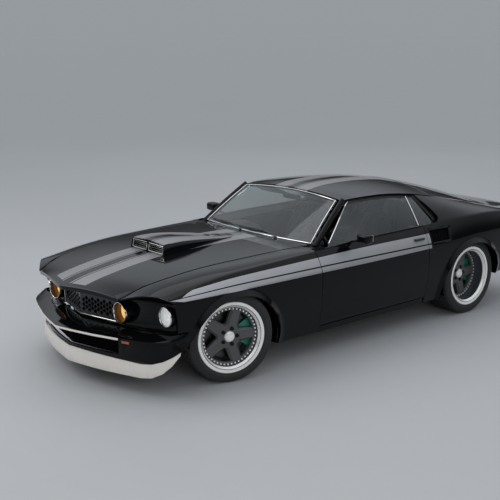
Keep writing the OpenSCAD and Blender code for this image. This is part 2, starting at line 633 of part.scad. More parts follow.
// Doors
door_low = rocker_h + 53;
door_bevel = 56;
door_rows = [0, 0.12, 0.26, 0.42, 0.58, 0.74, 0.88, 1];
door_upper = [1.12, 1.35, 1.6, 1.85, 2];
module door() {
    x0 = door_x0 - gap / 2;
    x1 = door_x1 + gap / 2;
    function s_of(x, r) = r <= 1 ? mix(side_s(x, door_low), 1, r) : r;
    rows = concat(door_rows, door_upper);
    xs = steps(x0, x1, 16);
    function inner(x, s) = let (p = side_inner(x, s, door_thick))
        [mix(x - door_bevel, x, (x0 - x) / (x0 - x1)), p[1], p[2]];
    shell([for (r = rows) [for (x = xs) side_point(x, s_of(x, r))]],
          [for (r = rows) [for (x = xs) inner(x, s_of(x, r))]]);
    for (z = door_pin_z) translate([door_pin_x, door_pin_y, z]) mirror([1, 0, 0])
        swan_arm(door_pin_ahead + gap / 2, door_arm_deep, -42, barrel_len);
    translate([door_x1 + 40, side_half - 26, crease_h + 72]) block(0, 130, 0, 20, 0, 26);
}
module door_left() { color("dimgray") door(); }
module door_right() { color("dimgray") mirror([0, 1, 0]) door(); }
mirror_x = xf - 1268;
module mirror_shape() {
    translate([mirror_x, belt_y(mirror_x), belt_z(mirror_x) + 0.3]) {
        hull() {
            translate([-36, 78, 22]) cube([70, 6, 52]);
            translate([-46, 96, 8]) cube([96, 90, 78]);
            translate([-40, 190, 16]) cube([70, 12, 60]);
        }
        block(-16, 16, -8, 100, 0, 34);
    }
}
module mirror_left() { color("black") mirror_shape(); }
module mirror_right() { color("black") mirror([0, 1, 0]) mirror_shape(); }

// Hood, its scoop and the trunk lid
function hood_nose(q) = x_front - 48 - 140 * abs(q)^1.15;
hood_bevel = 26;
module hood() {
    qs = steps(1, -1, 16);
    back = hood_back + gap / 2;
    function edge(x, q) = crown_point(hood_table, x, q * (1 - (gap + seam) / track(hood_table, x, 1)));
    color("dimgray") {
        shell([for (q = qs) [for (x = steps(hood_nose(q), back, 16)) edge(x, q)]],
              [for (q = qs) [for (x = steps(hood_nose(q) - 4, back + hood_bevel, 16))
                  edge(x, q * 0.99) - [0, 0, lid_thick]]]);
        both_sides() translate([hood_pin_x, hood_arm_y, hood_pin_z]) rotate([90, 0, 0])
            swan_arm(hood_pin_back + gap / 2, hood_arm_deep, hood_pin_deep - lid_thick + 2, arm_wide);
    }
}
scoop_front = xf + 150;
// Hood scoop: distance behind its mouth, half width, height as a share of the mouth's
scoop_rows = [[0, 214, 1], [60, 212, 1.04], [190, 202, 0.975], [340, 184, 0.76], [520, 152, 0.42],
              [660, 122, 0.15], [760, 104, 0.06]];
scoop_foot = 0.9;
module hood_scoop() {
    function base(x, y) = crown_point(hood_table, x, y / track(hood_table, x, 1)) + [0, 0, scoop_foot];
    // Across the scoop: share of the half width, share of the height
    lines = [[1, 0.62], [0.9, 1], [0.5, 1.06], [0, 1.08], [-0.5, 1.06], [-0.9, 1], [-1, 0.62]];
    color("dimgray") difference() {
        shell([for (k = lines) [for (r = scoop_rows)
                   base(scoop_front - r[0], k[0] * r[1]) + [0, 0, max(4, scoop_h * r[2] * k[1])]]],
              [for (k = lines) [for (r = scoop_rows) base(scoop_front - r[0], k[0] * r[1])]]);
        both_sides() block(scoop_front - 110, scoop_front + 10, 14, 190, belt_h + 10, belt_h + scoop_h - 22);
    }
}
function deck_edge(x, q) = q * (1 - (gap + seam) / track(roof_table, x, 1));
deck_bevel = 30;
// Extra room ahead of the lid for its swing
lid_swing = 1;
module trunk_lid() {
    x0 = deck_front - gap / 2 - lid_swing;
    qs = steps(1, -1, 12);
    color("dimgray") {
        shell([for (q = qs) [for (x = steps(x0, x_end, 8)) crown_point(roof_table, x, deck_edge(x, q))]],
              [for (q = qs) [for (x = steps(x0 - deck_bevel, x_end + 4, 8))
                  crown_point(roof_table, x, deck_edge(x, q) * 0.985) - [0, 0, lid_thick]]]);
        both_sides() translate([deck_pin_x, deck_arm_y, deck_pin_z]) mirror([1, 0, 0]) rotate([90, 0, 0])
            swan_arm(deck_pin_ahead + gap / 2, deck_arm_deep, deck_pin_deep - lid_thick + 2, arm_wide);
    }
}

// Inner structure
rail_in = side_half - 563;
rail_out = side_half - 473;
firewall_x = xf - 730;
firewall_half = side_half - 333;
seat_bulk_x = xr + 508;
seat_bulk_back = seat_bulk_x - 15;
hump_h = 500;
hump_half = side_half - 363;
trunk_half = side_half - 273;
sill_in = side_half - 203;
sill_out = side_half - 141;
sill_h = rocker_h + 125;
tunnel_half = 150;
tunnel_h = 400;
wall = 10;
rail_low = 262;
rail_high = 350;
jack_low = 175;
post_y = side_half - 93;
cowl_low = belt_h - 120;
module tunnel_space(x0, x1) {
    block(x0, x1, -tunnel_half + wall, tunnel_half - wall, floor_h - 1, tunnel_h - wall);
}
// Floor with its tunnel, the bulkhead under the rear seat, the hump over the axle and the trunk floor
module floor_pan() {
    color("gray") {
        difference() {
            union() {
                block(seat_bulk_x, firewall_x, -sill_in, sill_in, floor_h, floor_h + floor_thick);
                block(seat_bulk_back, firewall_x, -tunnel_half, tunnel_half, floor_h, tunnel_h);
                block(seat_bulk_back, seat_bulk_x, -sill_in, sill_in, floor_h, hump_h + floor_thick);
            }
            tunnel_space(seat_bulk_back - 1, firewall_x + 1);
        }
        block(xr - 430, seat_bulk_x, -hump_half, hump_half, hump_h, hump_h + floor_thick);
        block(xr - 445, xr - 430, -hump_half, hump_half, trunk_floor_h, hump_h + floor_thick);
        block(x_end + 60, xr - 430, -trunk_half, trunk_half, trunk_floor_h, trunk_floor_h + floor_thick);
        block(x_end + tail_thick, x_end + 60, -trunk_half, trunk_half, trunk_floor_h, trunk_floor_h + 60);
    }
}
// Firewall, front rails, aprons with their strut shelves, and the radiator support
module front_structure() {
    color("gray") {
        difference() {
            block(firewall_x, firewall_x + 12, -firewall_half, firewall_half, floor_h, belt_h - 60);
            tunnel_space(firewall_x - 1, firewall_x + 13);
        }
        both_sides() {
            block(firewall_x, bracket_x, rail_in, rail_out, rail_low, rail_high);
            block(firewall_x, nose_x, rail_out - 12, rail_out + 20, rail_high - 20, apron_h);
            block(xf - 300, xf + 340, rail_out, apron_y, apron_h - 12, apron_h);
            block(firewall_x, xf - 300, rail_out, firewall_half, apron_h - 12, apron_h);
        }
        difference() {
            block(nose_x - 20, nose_x, -firewall_half, firewall_half, rail_low, belt_h - 185);
            block(nose_x - 21, nose_x + 1, -rail_in + 30, rail_in - 30, rail_low + 40, belt_h - 225);
        }
    }
}
// Rockers, sills and jacking pads
module sills() {
    color("gray") both_sides() {
        along_x(door_x1, door_x0 - door_x1) polygon([
            [sill_out - 10, rocker_h - 4], [side_half - 58, rocker_h - 4],
            [side_half - 44, door_low - gap], [sill_out - 10, door_low - gap]]);
        block(seat_bulk_back, firewall_x, sill_in, sill_out, floor_h, sill_h);
        for (x = [door_x0 - 120, door_x1 + 20]) block(x, x + 100, sill_in, sill_out, jack_low, floor_h + 1);
    }
}
// Hinge posts with the door pins, and the cowl sides with the hood pins
module hinge_posts() {
    post_x = door_pin_x + 20;
    color("gray") both_sides() {
        block(post_x, post_x + 50, sill_in, post_y, sill_h, belt_h - 60);
        block(firewall_x, post_x + 50, firewall_half, sill_in + 1, cowl_low, belt_h - 80);
        block(door_x0 - 142, post_x + 50, cowl_leg_y + 30, pillar_foot[1] + 24, cowl_low, belt_h - 26);
        block(hood_pin_x - 25, hood_pin_x + 45, cowl_leg_y, cowl_leg_y + 32, cowl_low, cowl_leg_h);
        block(hood_pin_x - 15, hood_pin_x + 15, hood_arm_y + arm_wide / 2 + 4, cowl_leg_y + 32,
              belt_h - 100, hood_pin_z + 12);
        for (z = door_pin_z) {
            translate([door_pin_x, door_pin_y, z]) cylinder(r = pin_r, h = barrel_len + 16, center = true);
            for (k = [-1, 1]) translate([0, 0, z + k * (barrel_len / 2 + 6)])
                block(door_pin_x - 10, post_x + 20, post_y - 10, door_pin_y + 10, -4, 4);
        }
        translate([hood_pin_x, hood_arm_y + arm_wide / 2 + 20, hood_pin_z]) rotate([90, 0, 0])
            cylinder(r = pin_r, h = arm_wide + 25);
    }
}
// Rear wheel houses, the posts behind the doors and the posts with the trunk lid's pins
module rear_structure() {
    house_out = hump_half + 22;
    house_h = crease_h + 37;
    base_h = trunk_floor_h + floor_thick;
    color("gray") both_sides() {
        block(xr - 440, seat_bulk_back, hump_half, house_out, hump_h - 110, house_h);
        block(xr - 440, seat_bulk_back, house_out - 7, house_out + 88, house_h - 12, house_h);
        block(door_x1 - 50, door_x1 - 8, sill_in - 60, post_out, sill_h, post_h);
        block(deck_pin_x - 20, deck_pin_x + 20, deck_arm_y + arm_wide / 2 + 4, deck_leg_y + 20,
              base_h, deck_pin_z + 12);
        block(deck_front + 15, deck_pin_x - 20, deck_leg_y, deck_leg_y + 20, base_h, deck_leg_h);
        translate([deck_pin_x, deck_arm_y + arm_wide / 2 + 20, deck_pin_z]) rotate([90, 0, 0])
            cylinder(r = pin_r, h = arm_wide + 25);
    }
}

// Drive train and running gear that doesn't move
engine_half = rail_in - 95;
engine_top = belt_h - 120;
module engine() {
    color("dimgray") {
        difference() {
            block(firewall_x + 150, xf + 210, -engine_half, engine_half, 275, engine_top);
            both_sides() translate([0, engine_half, engine_top]) rotate([45, 0, 0])
                block(firewall_x, xf + 300, -60, 60, -60, 60);
        }
        translate([xf - 160, 0, engine_top - 1]) cylinder(r = 165, h = 60);
        both_sides() block(xf - 260, xf - 180, engine_half - 35, rail_in, 300, 340);
        translate([firewall_x - 420, 0, 300]) rotate([0, 90, 0]) cylinder(r = 82, h = 600);
    }
}
prop_r = 36;
axle_r = 40;
spring_y = side_half - 453;
spring_wide = 60;
module rear_axle() {
    tube_half = rear_disc_y - caliper_wide / 2;
    color("dimgray") {
        translate([xr, 0, tyre_r_rear]) {
            rotate([90, 0, 0]) cylinder(r = axle_r, h = 2 * tube_half, center = true);
            sphere(r = 122);
            rotate([0, 90, 0]) cylinder(r = prop_r, h = firewall_x - 422 - xr);
        }
        both_sides() {
            translate([xr, tube_half - 1, tyre_r_rear]) rotate([-90, 0, 0])
                cylinder(r = hub_r - hub_play, h = track_half_rear + face_rear - 14 - tube_half + 1);
            block(xr - 560, seat_bulk_back, spring_y, spring_y + spring_wide, 274, 288);
            block(xr - 60, xr + 60, spring_y, spring_y + spring_wide, 286, tyre_r_rear);
            block(xr - 560, xr - 520, spring_y + 15, spring_y + 45, 287, trunk_floor_h);
        }
    }
}
module rear_calipers() {
    color("teal") both_sides() {
        caliper(xr, tyre_r_rear, rear_disc_y);
        block(xr - 112, xr - axle_r - hub_play, rear_disc_y - 60, rear_disc_y - caliper_wide / 2 + 6,
              tyre_r_rear - 40, tyre_r_rear + 40);
    }
}
module exhaust() {
    color("silver") both_sides() {
        translate([x_end + 150, 260, 163]) rotate([0, 90, 0]) cylinder(r = 28, h = firewall_x + 90 - x_end);
        block(seat_bulk_x + 60, seat_bulk_x + 480, 190, 330, 128, 190);
        block(seat_bulk_x + 200, seat_bulk_x + 240, 250, 270, 185, floor_h);
    }
}
module fuel_tank() {
    color("dimgray") block(x_end + 140, xr - 500, -side_half + 463, side_half - 463, 215, trunk_floor_h);
}
module front_suspension() {
    color("dimgray") {
        block(xw - 60, xw + 60, -rail_out, rail_out, 186, rail_low);
        both_sides() {
            block(xw - 34, xw + 34, rail_out - 1, kingpin_y + 15, 190, 214);
            block(xw - 30, xw + 30, rail_out + 20, kingpin_y + 15, 486, 506);
            translate([xw, kingpin_y, 200]) cylinder(r = 13, h = 300);
        }
    }
}

// Wheels: drawn with the axle along +Z, outboard up
hub_r = 30;
hub_play = 0.3;
kingpin_y = track_half_front - kingpin_in;
lip_in = 6;
module tyre(r, w) {
    h = w / 2;
    b = rim_r - 9.5;
    side = [[b, -h + lip_in + 9.5], [rim_r + 0.5, -h + lip_in + 9.3], [rim_r + 3, -h + 4], [rim_r + 22, -h],
            [r - 32, -h + 3], [r - 12, -h + 10], [r - 3, -h + 22], [r, -h + 40]];
    color([0.05, 0.05, 0.05]) rotate_extrude($fn = 96)
        polygon(concat(side, [for (i = [len(side) - 1:-1:0]) [side[i][0], -side[i][1]]]));
}
window_in = 92;
window_out = rim_r - 61;
spoke_in = 38;
spoke_out = 46;
module rim(w, dish) {
    h = w / 2 - lip_in;
    face = h - dish;
    a_out = asin(spoke_out / window_out);
    pitch = 360 / spokes;
    a_in = asin(spoke_in / window_in);
    window = concat([window_in * [cos(a_in), sin(a_in)]],
        [for (a = steps(a_out, pitch - a_out, 6)) window_out * [cos(a), sin(a)]],
        [window_in * [cos(pitch - a_in), sin(pitch - a_in)]]);
    // Outer half of the barrel's section, from its middle to the lip
    barrel = [[rim_r - 34, 0], [rim_r - 28, h - 48], [rim_r - 10, h - 9], [rim_r, h - 9], [rim_r, h],
              [rim_r - 11, h], [rim_r - 14, h - 16], [rim_r - 24, h - 16], [rim_r - 27, h - 26],
              [rim_r - 38, h - 52], [rim_r - 44, 0]];
    back = [[rim_r - 38, -h + 48], [rim_r - 15, -h], [rim_r, -h], [rim_r, -h + 9], [rim_r - 10, -h + 9],
            [rim_r - 28, -h + 48]];
    color("dimgray") difference() {
        union() {
            rotate_extrude($fn = 96) polygon(concat(barrel, back));
            translate([0, 0, face - 42]) cylinder(r = rim_r - 36, h = 42);
            translate([0, 0, face - 0.5]) cylinder(r = 34, h = 18);
        }
        for (k = [0:spokes - 1]) rotate([0, 0, k * pitch + 90]) translate([0, 0, face - 60])
            linear_extrude(80) polygon(window);
        translate([0, 0, face - 60]) cylinder(r = hub_r, h = 48);
    }
}
module disc(back) {
    color("silver") difference() {
        union() {
            translate([0, 0, back]) cylinder(r = disc_r, h = 30);
            translate([0, 0, back + 29]) cylinder(r = 78, h = hat_h - 29);
        }
        translate([0, 0, back - 1]) cylinder(r = hub_r, h = hat_h + 2);
    }
}
// Spoke faces lie this far in from the lip, and the disc's hat reaches the back of the spokes
dish_front = 40;
dish_rear = 120;
hat_h = 62;
face_front = tyre_w_front / 2 - lip_in - dish_front;
face_rear = tyre_w_rear / 2 - lip_in - dish_rear;
disc_front_at = face_front - 42 - hat_h;
disc_rear_at = face_rear - 42 - hat_h;
rear_disc_y = track_half_rear + disc_rear_at + 15;
caliper_wide = 82;
module caliper(x, z, disc_y) {
    arc = [148, 164, 180, 196, 212];
    translate([x, disc_y, z]) rotate([90, 0, 0]) difference() {
        linear_extrude(caliper_wide, center = true) polygon(concat(
            [for (a = arc) (rim_r - 55) * [cos(a), sin(a)]],
            [for (i = [len(arc) - 1:-1:0]) 110 * [cos(arc[i]), sin(arc[i])]]));
        cylinder(r = disc_r + 6, h = 42, center = true);
    }
}
// Puts a wheel's parts at a corner; the front ones are turned about the kingpin
module at_front(side) {
    translate([xw, side * kingpin_y, 0]) rotate([0, 0, -steer_parked])
        translate([-xw, -side * kingpin_y, 0]) children();
}
module axle_out(x, y, z, side) { translate([x, side * y, z]) rotate([-90 * side, 0, 0]) children(); }
module front_corner(side) { at_front(side) axle_out(xw, track_half_front, tyre_r_front, side) children(); }
module rear_corner(side) { axle_out(xr, track_half_rear, tyre_r_rear, side) children(); }
module tyre_fl() { front_corner(1) tyre(tyre_r_front, tyre_w_front); }
module tyre_fr() { front_corner(-1) tyre(tyre_r_front, tyre_w_front); }
module tyre_rl() { rear_corner(1) tyre(tyre_r_rear, tyre_w_rear); }
module tyre_rr() { rear_corner(-1) tyre(tyre_r_rear, tyre_w_rear); }
module wheel_fl() { front_corner(1) rim(tyre_w_front, dish_front); }
module wheel_fr() { front_corner(-1) rim(tyre_w_front, dish_front); }
module wheel_rl() { rear_corner(1) rim(tyre_w_rear, dish_rear); }
module wheel_rr() { rear_corner(-1) rim(tyre_w_rear, dish_rear); }
module disc_fl() { front_corner(1) disc(disc_front_at); }
module disc_fr() { front_corner(-1) disc(disc_front_at); }
module disc_rl() { rear_corner(1) disc(disc_rear_at); }
module disc_rr() { rear_corner(-1) disc(disc_rear_at); }
front_disc_y = track_half_front + disc_front_at + 15;
module knuckle() {
    difference() {
        union() {
            translate([xw, kingpin_y, 222]) cylinder(r = 26, h = 256);
            block(xw - 22, xw + 22, kingpin_y, front_disc_y - 26, tyre_r_front - 60, tyre_r_front + 60);
            translate([xw, front_disc_y - 30, tyre_r_front]) rotate([-90, 0, 0])
                cylinder(r = hub_r - hub_play, h = track_half_front + face_front - 14 - front_disc_y + 30);
            block(xw - 150, xw, front_disc_y - 60, front_disc_y - caliper_wide / 2 - hub_play,
                  tyre_r_front - 30, tyre_r_front + 30);
        }
        translate([xw, kingpin_y, 200]) cylinder(r = 13 + pin_play, h = 300);
    }
}
module knuckle_left() { color("dimgray") at_front(1) knuckle(); }
module knuckle_right() { color("dimgray") at_front(-1) mirror([0, 1, 0]) knuckle(); }
module caliper_left() { color("teal") at_front(1) caliper(xw, tyre_r_front, front_disc_y); }
module caliper_right() { color("teal") at_front(-1) mirror([0, 1, 0]) caliper(xw, tyre_r_front, front_disc_y); }

// Cabin: the seats' tops follow the roof, the column follows the dashboard
seat_y = side_half - 518;
seat_x = xf - 1700;
seat_low = floor_h + floor_thick + 110;
headroom = 145;
seat_top = roof_h - headroom - seat_low;
steering_tilt = 72;
column_x = xf - 1165;
column_z = belt_h - 130;
column_len = 110;
module seat() {
    hull() {
        translate([-60, -220, 0]) cube([480, 440, 60]);
        translate([-30, -190, 110]) cube([430, 380, 20]);
    }
    hull() {
        translate([-90, -210, 100]) cube([110, 420, 60]);
        translate([-330, -170, seat_top - 190]) cube([70, 340, 60]);
    }
    hull() {
        translate([-330, -110, seat_top - 128]) cube([62, 220, 8]);
        translate([-352, -120, seat_top - 60]) cube([74, 240, 60]);
    }
    for (y = [-60, 40]) block(-320, -300, y, y + 20, seat_top - 150, seat_top - 110);
}
module front_seats() {
    color("black") both_sides() {
        translate([seat_x, seat_y, seat_low]) seat();
        for (y = [seat_y - 180, seat_y + 140])
            block(seat_x - 40, seat_x + 380, y, y + 40, floor_h + floor_thick, seat_low + 1);
    }
}
module rear_seat() {
    z = hump_h + floor_thick;
    half = side_half - 393;
    top = track(roof_table, seat_bulk_x - 500, 2) - 76;
    color("black") {
        hull() {
            block(seat_bulk_x - 430, seat_bulk_x - 30, -half, half, z, z + 60);
            block(seat_bulk_x - 400, seat_bulk_x - 60, -half + 20, half - 20, z + 60, z + 90);
        }
        hull() {
            block(seat_bulk_x - 440, seat_bulk_x - 340, -half, half, z + 80, z + 120);
            block(seat_bulk_x - 560, seat_bulk_x - 500, -half + 30, half - 30, top - 20, top);
        }
    }
}
module along_column(at) {
    translate([column_x, seat_y, column_z]) rotate([0, -steering_tilt, 0]) translate([0, 0, at]) children();
}
module dashboard() {
    half = side_half - 273;
    color("black") {
        along_y(-half, 2 * half) polygon([
            [xf - 960, belt_h - 250], [xf - 1130, belt_h - 240], [xf - 1180, belt_h - 120],
            [xf - 1150, belt_h - 62], [xf - 1000, belt_h - 50], [xf - 960, belt_h - 70]]);
        both_sides() block(xf - 975, xf - 962, half - 20, cowl_leg_y + 30, belt_h - 118, belt_h - 90);
        along_column(0) cylinder(r = 22, h = column_len);
    }
}
module steering_wheel() {
    color("black") along_column(column_len + hub_play) {
        rotate_extrude($fn = 64) translate([172, 0]) circle(r = 14, $fn = 20);
        cylinder(r = 40, h = 18);
        for (a = [0, 120, 240]) rotate([0, 0, a]) block(30, 165, -16, 16, 0, 8);
    }
}

floor_pan();
front_structure();
sills();
hinge_posts();
rear_structure();
fender_left();
fender_right();
quarter_left();
quarter_right();
roof();
cowl();
tail_panel();
deck_strip();
front_panel();
grille();
headlamps();
amber_lamps();
front_bumper();
front_valance();
chin_spoiler();
rear_bumper();
tail_lamps();
windscreen();
rear_glass();
quarter_glass();
engine();
front_suspension();
rear_axle();
rear_calipers();
exhaust();
fuel_tank();
front_seats();
rear_seat();
dashboard();
steering_wheel();
hood();
hood_scoop();
trunk_lid();
door_left();
door_right();
door_glass_left();
door_glass_right();
mirror_left();
mirror_right();
knuckle_left();
knuckle_right();
caliper_left();
caliper_right();
tyre_fl();
tyre_fr();
tyre_rl();
tyre_rr();
wheel_fl();
wheel_fr();
wheel_rl();
wheel_rr();
disc_fl();
disc_fr();
disc_rl();
disc_rr();
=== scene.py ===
"""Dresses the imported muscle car: panels, stripes, glass, lamps, wheels and cabin."""

import logging
import math
from dataclasses import dataclass
from enum import Enum
from functools import partial
from typing import Callable, ClassVar, Sequence

import bmesh
import bpy
from mathutils import Matrix, Vector


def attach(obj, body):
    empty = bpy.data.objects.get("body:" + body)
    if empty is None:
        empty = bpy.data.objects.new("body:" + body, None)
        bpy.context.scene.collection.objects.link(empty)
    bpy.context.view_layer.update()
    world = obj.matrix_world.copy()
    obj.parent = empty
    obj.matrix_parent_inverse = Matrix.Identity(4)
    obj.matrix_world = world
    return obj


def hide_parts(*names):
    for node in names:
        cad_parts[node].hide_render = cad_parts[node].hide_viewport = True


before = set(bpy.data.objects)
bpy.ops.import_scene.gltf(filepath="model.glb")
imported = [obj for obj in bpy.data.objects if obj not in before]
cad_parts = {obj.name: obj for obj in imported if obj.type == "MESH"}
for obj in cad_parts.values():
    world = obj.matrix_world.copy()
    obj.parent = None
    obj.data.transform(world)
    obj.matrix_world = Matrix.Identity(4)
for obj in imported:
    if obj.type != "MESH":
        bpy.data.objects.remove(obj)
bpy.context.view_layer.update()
LOG = logging.getLogger("car")

Rows = Sequence[Sequence[float]]
Surface = Callable[[float, float], Vector]
Pair = tuple[float, float]
Point = tuple[float, float, float]
Colour = tuple[float, float, float]
Socket = bpy.types.NodeSocket
UP = Vector((0.0, 0.0, 1.0))
ACROSS = Vector((0.0, 1.0, 0.0))
AHEAD = Vector((1.0, 0.0, 0.0))


def mix(a: float, b: float, u: float) -> float:
    """The value at share u between a and b."""
    return a + (b - a) * u


def smooth(u: float) -> float:
    """An S-shaped step from 0 to 1."""
    u = min(1.0, max(0.0, u))
    return u * u * (3.0 - 2.0 * u)


def around(corners: Rows, counts: Sequence[int]) -> list[Pair]:
    """Points along the sides of a closed outline, so many to each side."""
    return [(mix(a[0], b[0], i / n), mix(a[1], b[1], i / n))
            for a, b, n in zip(corners, (*corners[1:], corners[0]), counts) for i in range(n)]


class Side(Enum):
    """The two sides of the car, with the sign of their Y."""

    LEFT = 1
    RIGHT = -1

    @property
    def word(self) -> str:
        """The side's word in node and body names."""
        return self.name.lower()


class Stripes(Enum):
    """Which grey stripes a painted panel carries."""

    NONE = "plain"
    TOP = "top"
    SCOOP = "scoop"
    FLANK = "flank"


# ---- finishes


class Graph:
    """Adds and joins the nodes of one shader tree."""

    def __init__(self, tree: bpy.types.NodeTree) -> None:
        """Keeps the tree."""
        self.tree = tree

    def add(self, kind: str, inputs: dict | None = None, **props: object) -> bpy.types.Node:
        """Adds a node.

        Args:
            kind: The node's type name.
            inputs: Values or sockets, by input name or number.
            props: Settings of the node itself.

        Returns:
            The new node.
        """
        node = self.tree.nodes.new(kind)
        for key, value in props.items():
            setattr(node, key, value)
        return self.fill(node, inputs or {})

    def fill(self, node: bpy.types.Node, inputs: dict) -> bpy.types.Node:
        """Sets a node's inputs to values or links them to sockets, by name or number."""
        for key, value in inputs.items():
            if isinstance(value, Socket):
                self.tree.links.new(value, node.inputs[key])
            else:
                node.inputs[key].default_value = value
        return node

    def math(self, operation: str, *values: object) -> Socket:
        """The result of a math node on the values."""
        return self.add("ShaderNodeMath", dict(enumerate(values)), operation=operation).outputs[0]

    def span(self, value: object, low: object, high: object, a: float = 0.0, b: float = 1.0) -> Socket:
        """A smooth step of value from a at low to b at high."""
        return self.add("ShaderNodeMapRange", {"Value": value, "From Min": low, "From Max": high, "To Min": a,
                                               "To Max": b}, interpolation_type="SMOOTHSTEP").outputs[0]

    def colour(self, share: object, a: object, b: object) -> Socket:
        """A mix of two colours."""
        ends = {k: v if isinstance(v, Socket) else (*v, 1.0) for k, v in ((6, a), (7, b))}
        return self.add("ShaderNodeMix", {0: share, **ends}, data_type="RGBA").outputs[2]

    def place(self, stretch: Sequence[float] = (1.0, 1.0, 1.0)) -> Socket:
        """Object coordinates, stretched along the axes."""
        where = self.add("ShaderNodeTexCoord").outputs["Object"]
        return self.add("ShaderNodeMapping", {"Vector": where, "Scale": tuple(stretch)}).outputs[0]

    def noise(self, where: object, scale: object, detail: float = 3.0) -> Socket:
        """Noise from 0 to 1 at a scale per metre."""
        return self.add("ShaderNodeTexNoise", {"Vector": where, "Scale": scale, "Detail": detail}).outputs[0]

    def bump(self, height: object, strength: float, distance: float = 0.001) -> Socket:
        """A normal from a height."""
        return self.add("ShaderNodeBump", {"Height": height, "Strength": strength,
                                           "Distance": distance}).outputs[0]


class Effects:
    """Node groups that several finishes share, each built once."""

    @staticmethod
    def _new(name: str, inputs: Sequence[str], outputs: Sequence[str]) -> tuple[Graph, object, object] | None:
        """Starts a group with float sockets, or returns None if it is there already."""
        if name in bpy.data.node_groups:
            return None
        tree = bpy.data.node_groups.new(name, "ShaderNodeTree")
        for label in inputs:
            tree.interface.new_socket(name=label, in_out="INPUT", socket_type="NodeSocketFloat")
        for label in outputs:
            tree.interface.new_socket(name=label, in_out="OUTPUT", socket_type="NodeSocketFloat")
        graph = Graph(tree)
        return graph, graph.add("NodeGroupInput"), graph.add("NodeGroupOutput")

    @classmethod
    def grain(cls) -> bpy.types.NodeTree:
        """Fine grain: a height, and a value that varies about its middle."""
        made = cls._new("surface_grain", ("Scale", "Middle", "Spread"), ("Height", "Value"))
        if made:
            g, given, out = made
            fine = g.noise(g.place(), given.outputs["Scale"], 4.0)
            broad = g.noise(g.place(), g.math("MULTIPLY", given.outputs["Scale"], 0.06), 2.0)
            both = g.math("MULTIPLY_ADD", broad, 0.6, g.math("MULTIPLY", fine, 0.4))
            swing = g.math("MULTIPLY", g.math("SUBTRACT", both, 0.5), given.outputs["Spread"])
            g.fill(out, {"Height": fine, "Value": g.math("ADD", given.outputs["Middle"], swing)})
        return bpy.data.node_groups["surface_grain"]

    @classmethod
    def dust(cls) -> bpy.types.NodeTree:
        """Road dust: a mask that fades out with height above the ground."""
        made = cls._new("road_dust", ("Top", "Amount"), ("Mask",))
        if made:
            g, given, out = made
            height = g.add("ShaderNodeSeparateXYZ", {0: g.place()}).outputs[2]
            fade = g.span(height, given.outputs["Top"], 0.02)
            patch = g.span(g.noise(g.place(), 14.0, 5.0), 0.35, 0.75)
            g.fill(out, {"Mask": g.math("MULTIPLY", g.math("MULTIPLY", fade, patch), given.outputs["Amount"])})
        return bpy.data.node_groups["road_dust"]

    @classmethod
    def band(cls) -> bpy.types.NodeTree:
        """A band: 1 where the value lies between its low and high edges."""
        made = cls._new("stripe_band", ("Value", "Low", "High", "Soft"), ("Mask",))
        if made:
            g, given, out = made
            value, soft = given.outputs["Value"], given.outputs["Soft"]
            enter = g.span(value, given.outputs["Low"], g.math("ADD", given.outputs["Low"], soft))
            leave = g.span(value, given.outputs["High"], g.math("SUBTRACT", given.outputs["High"], soft))
            g.fill(out, {"Mask": g.math("MULTIPLY", enter, leave)})
        return bpy.data.node_groups["stripe_band"]


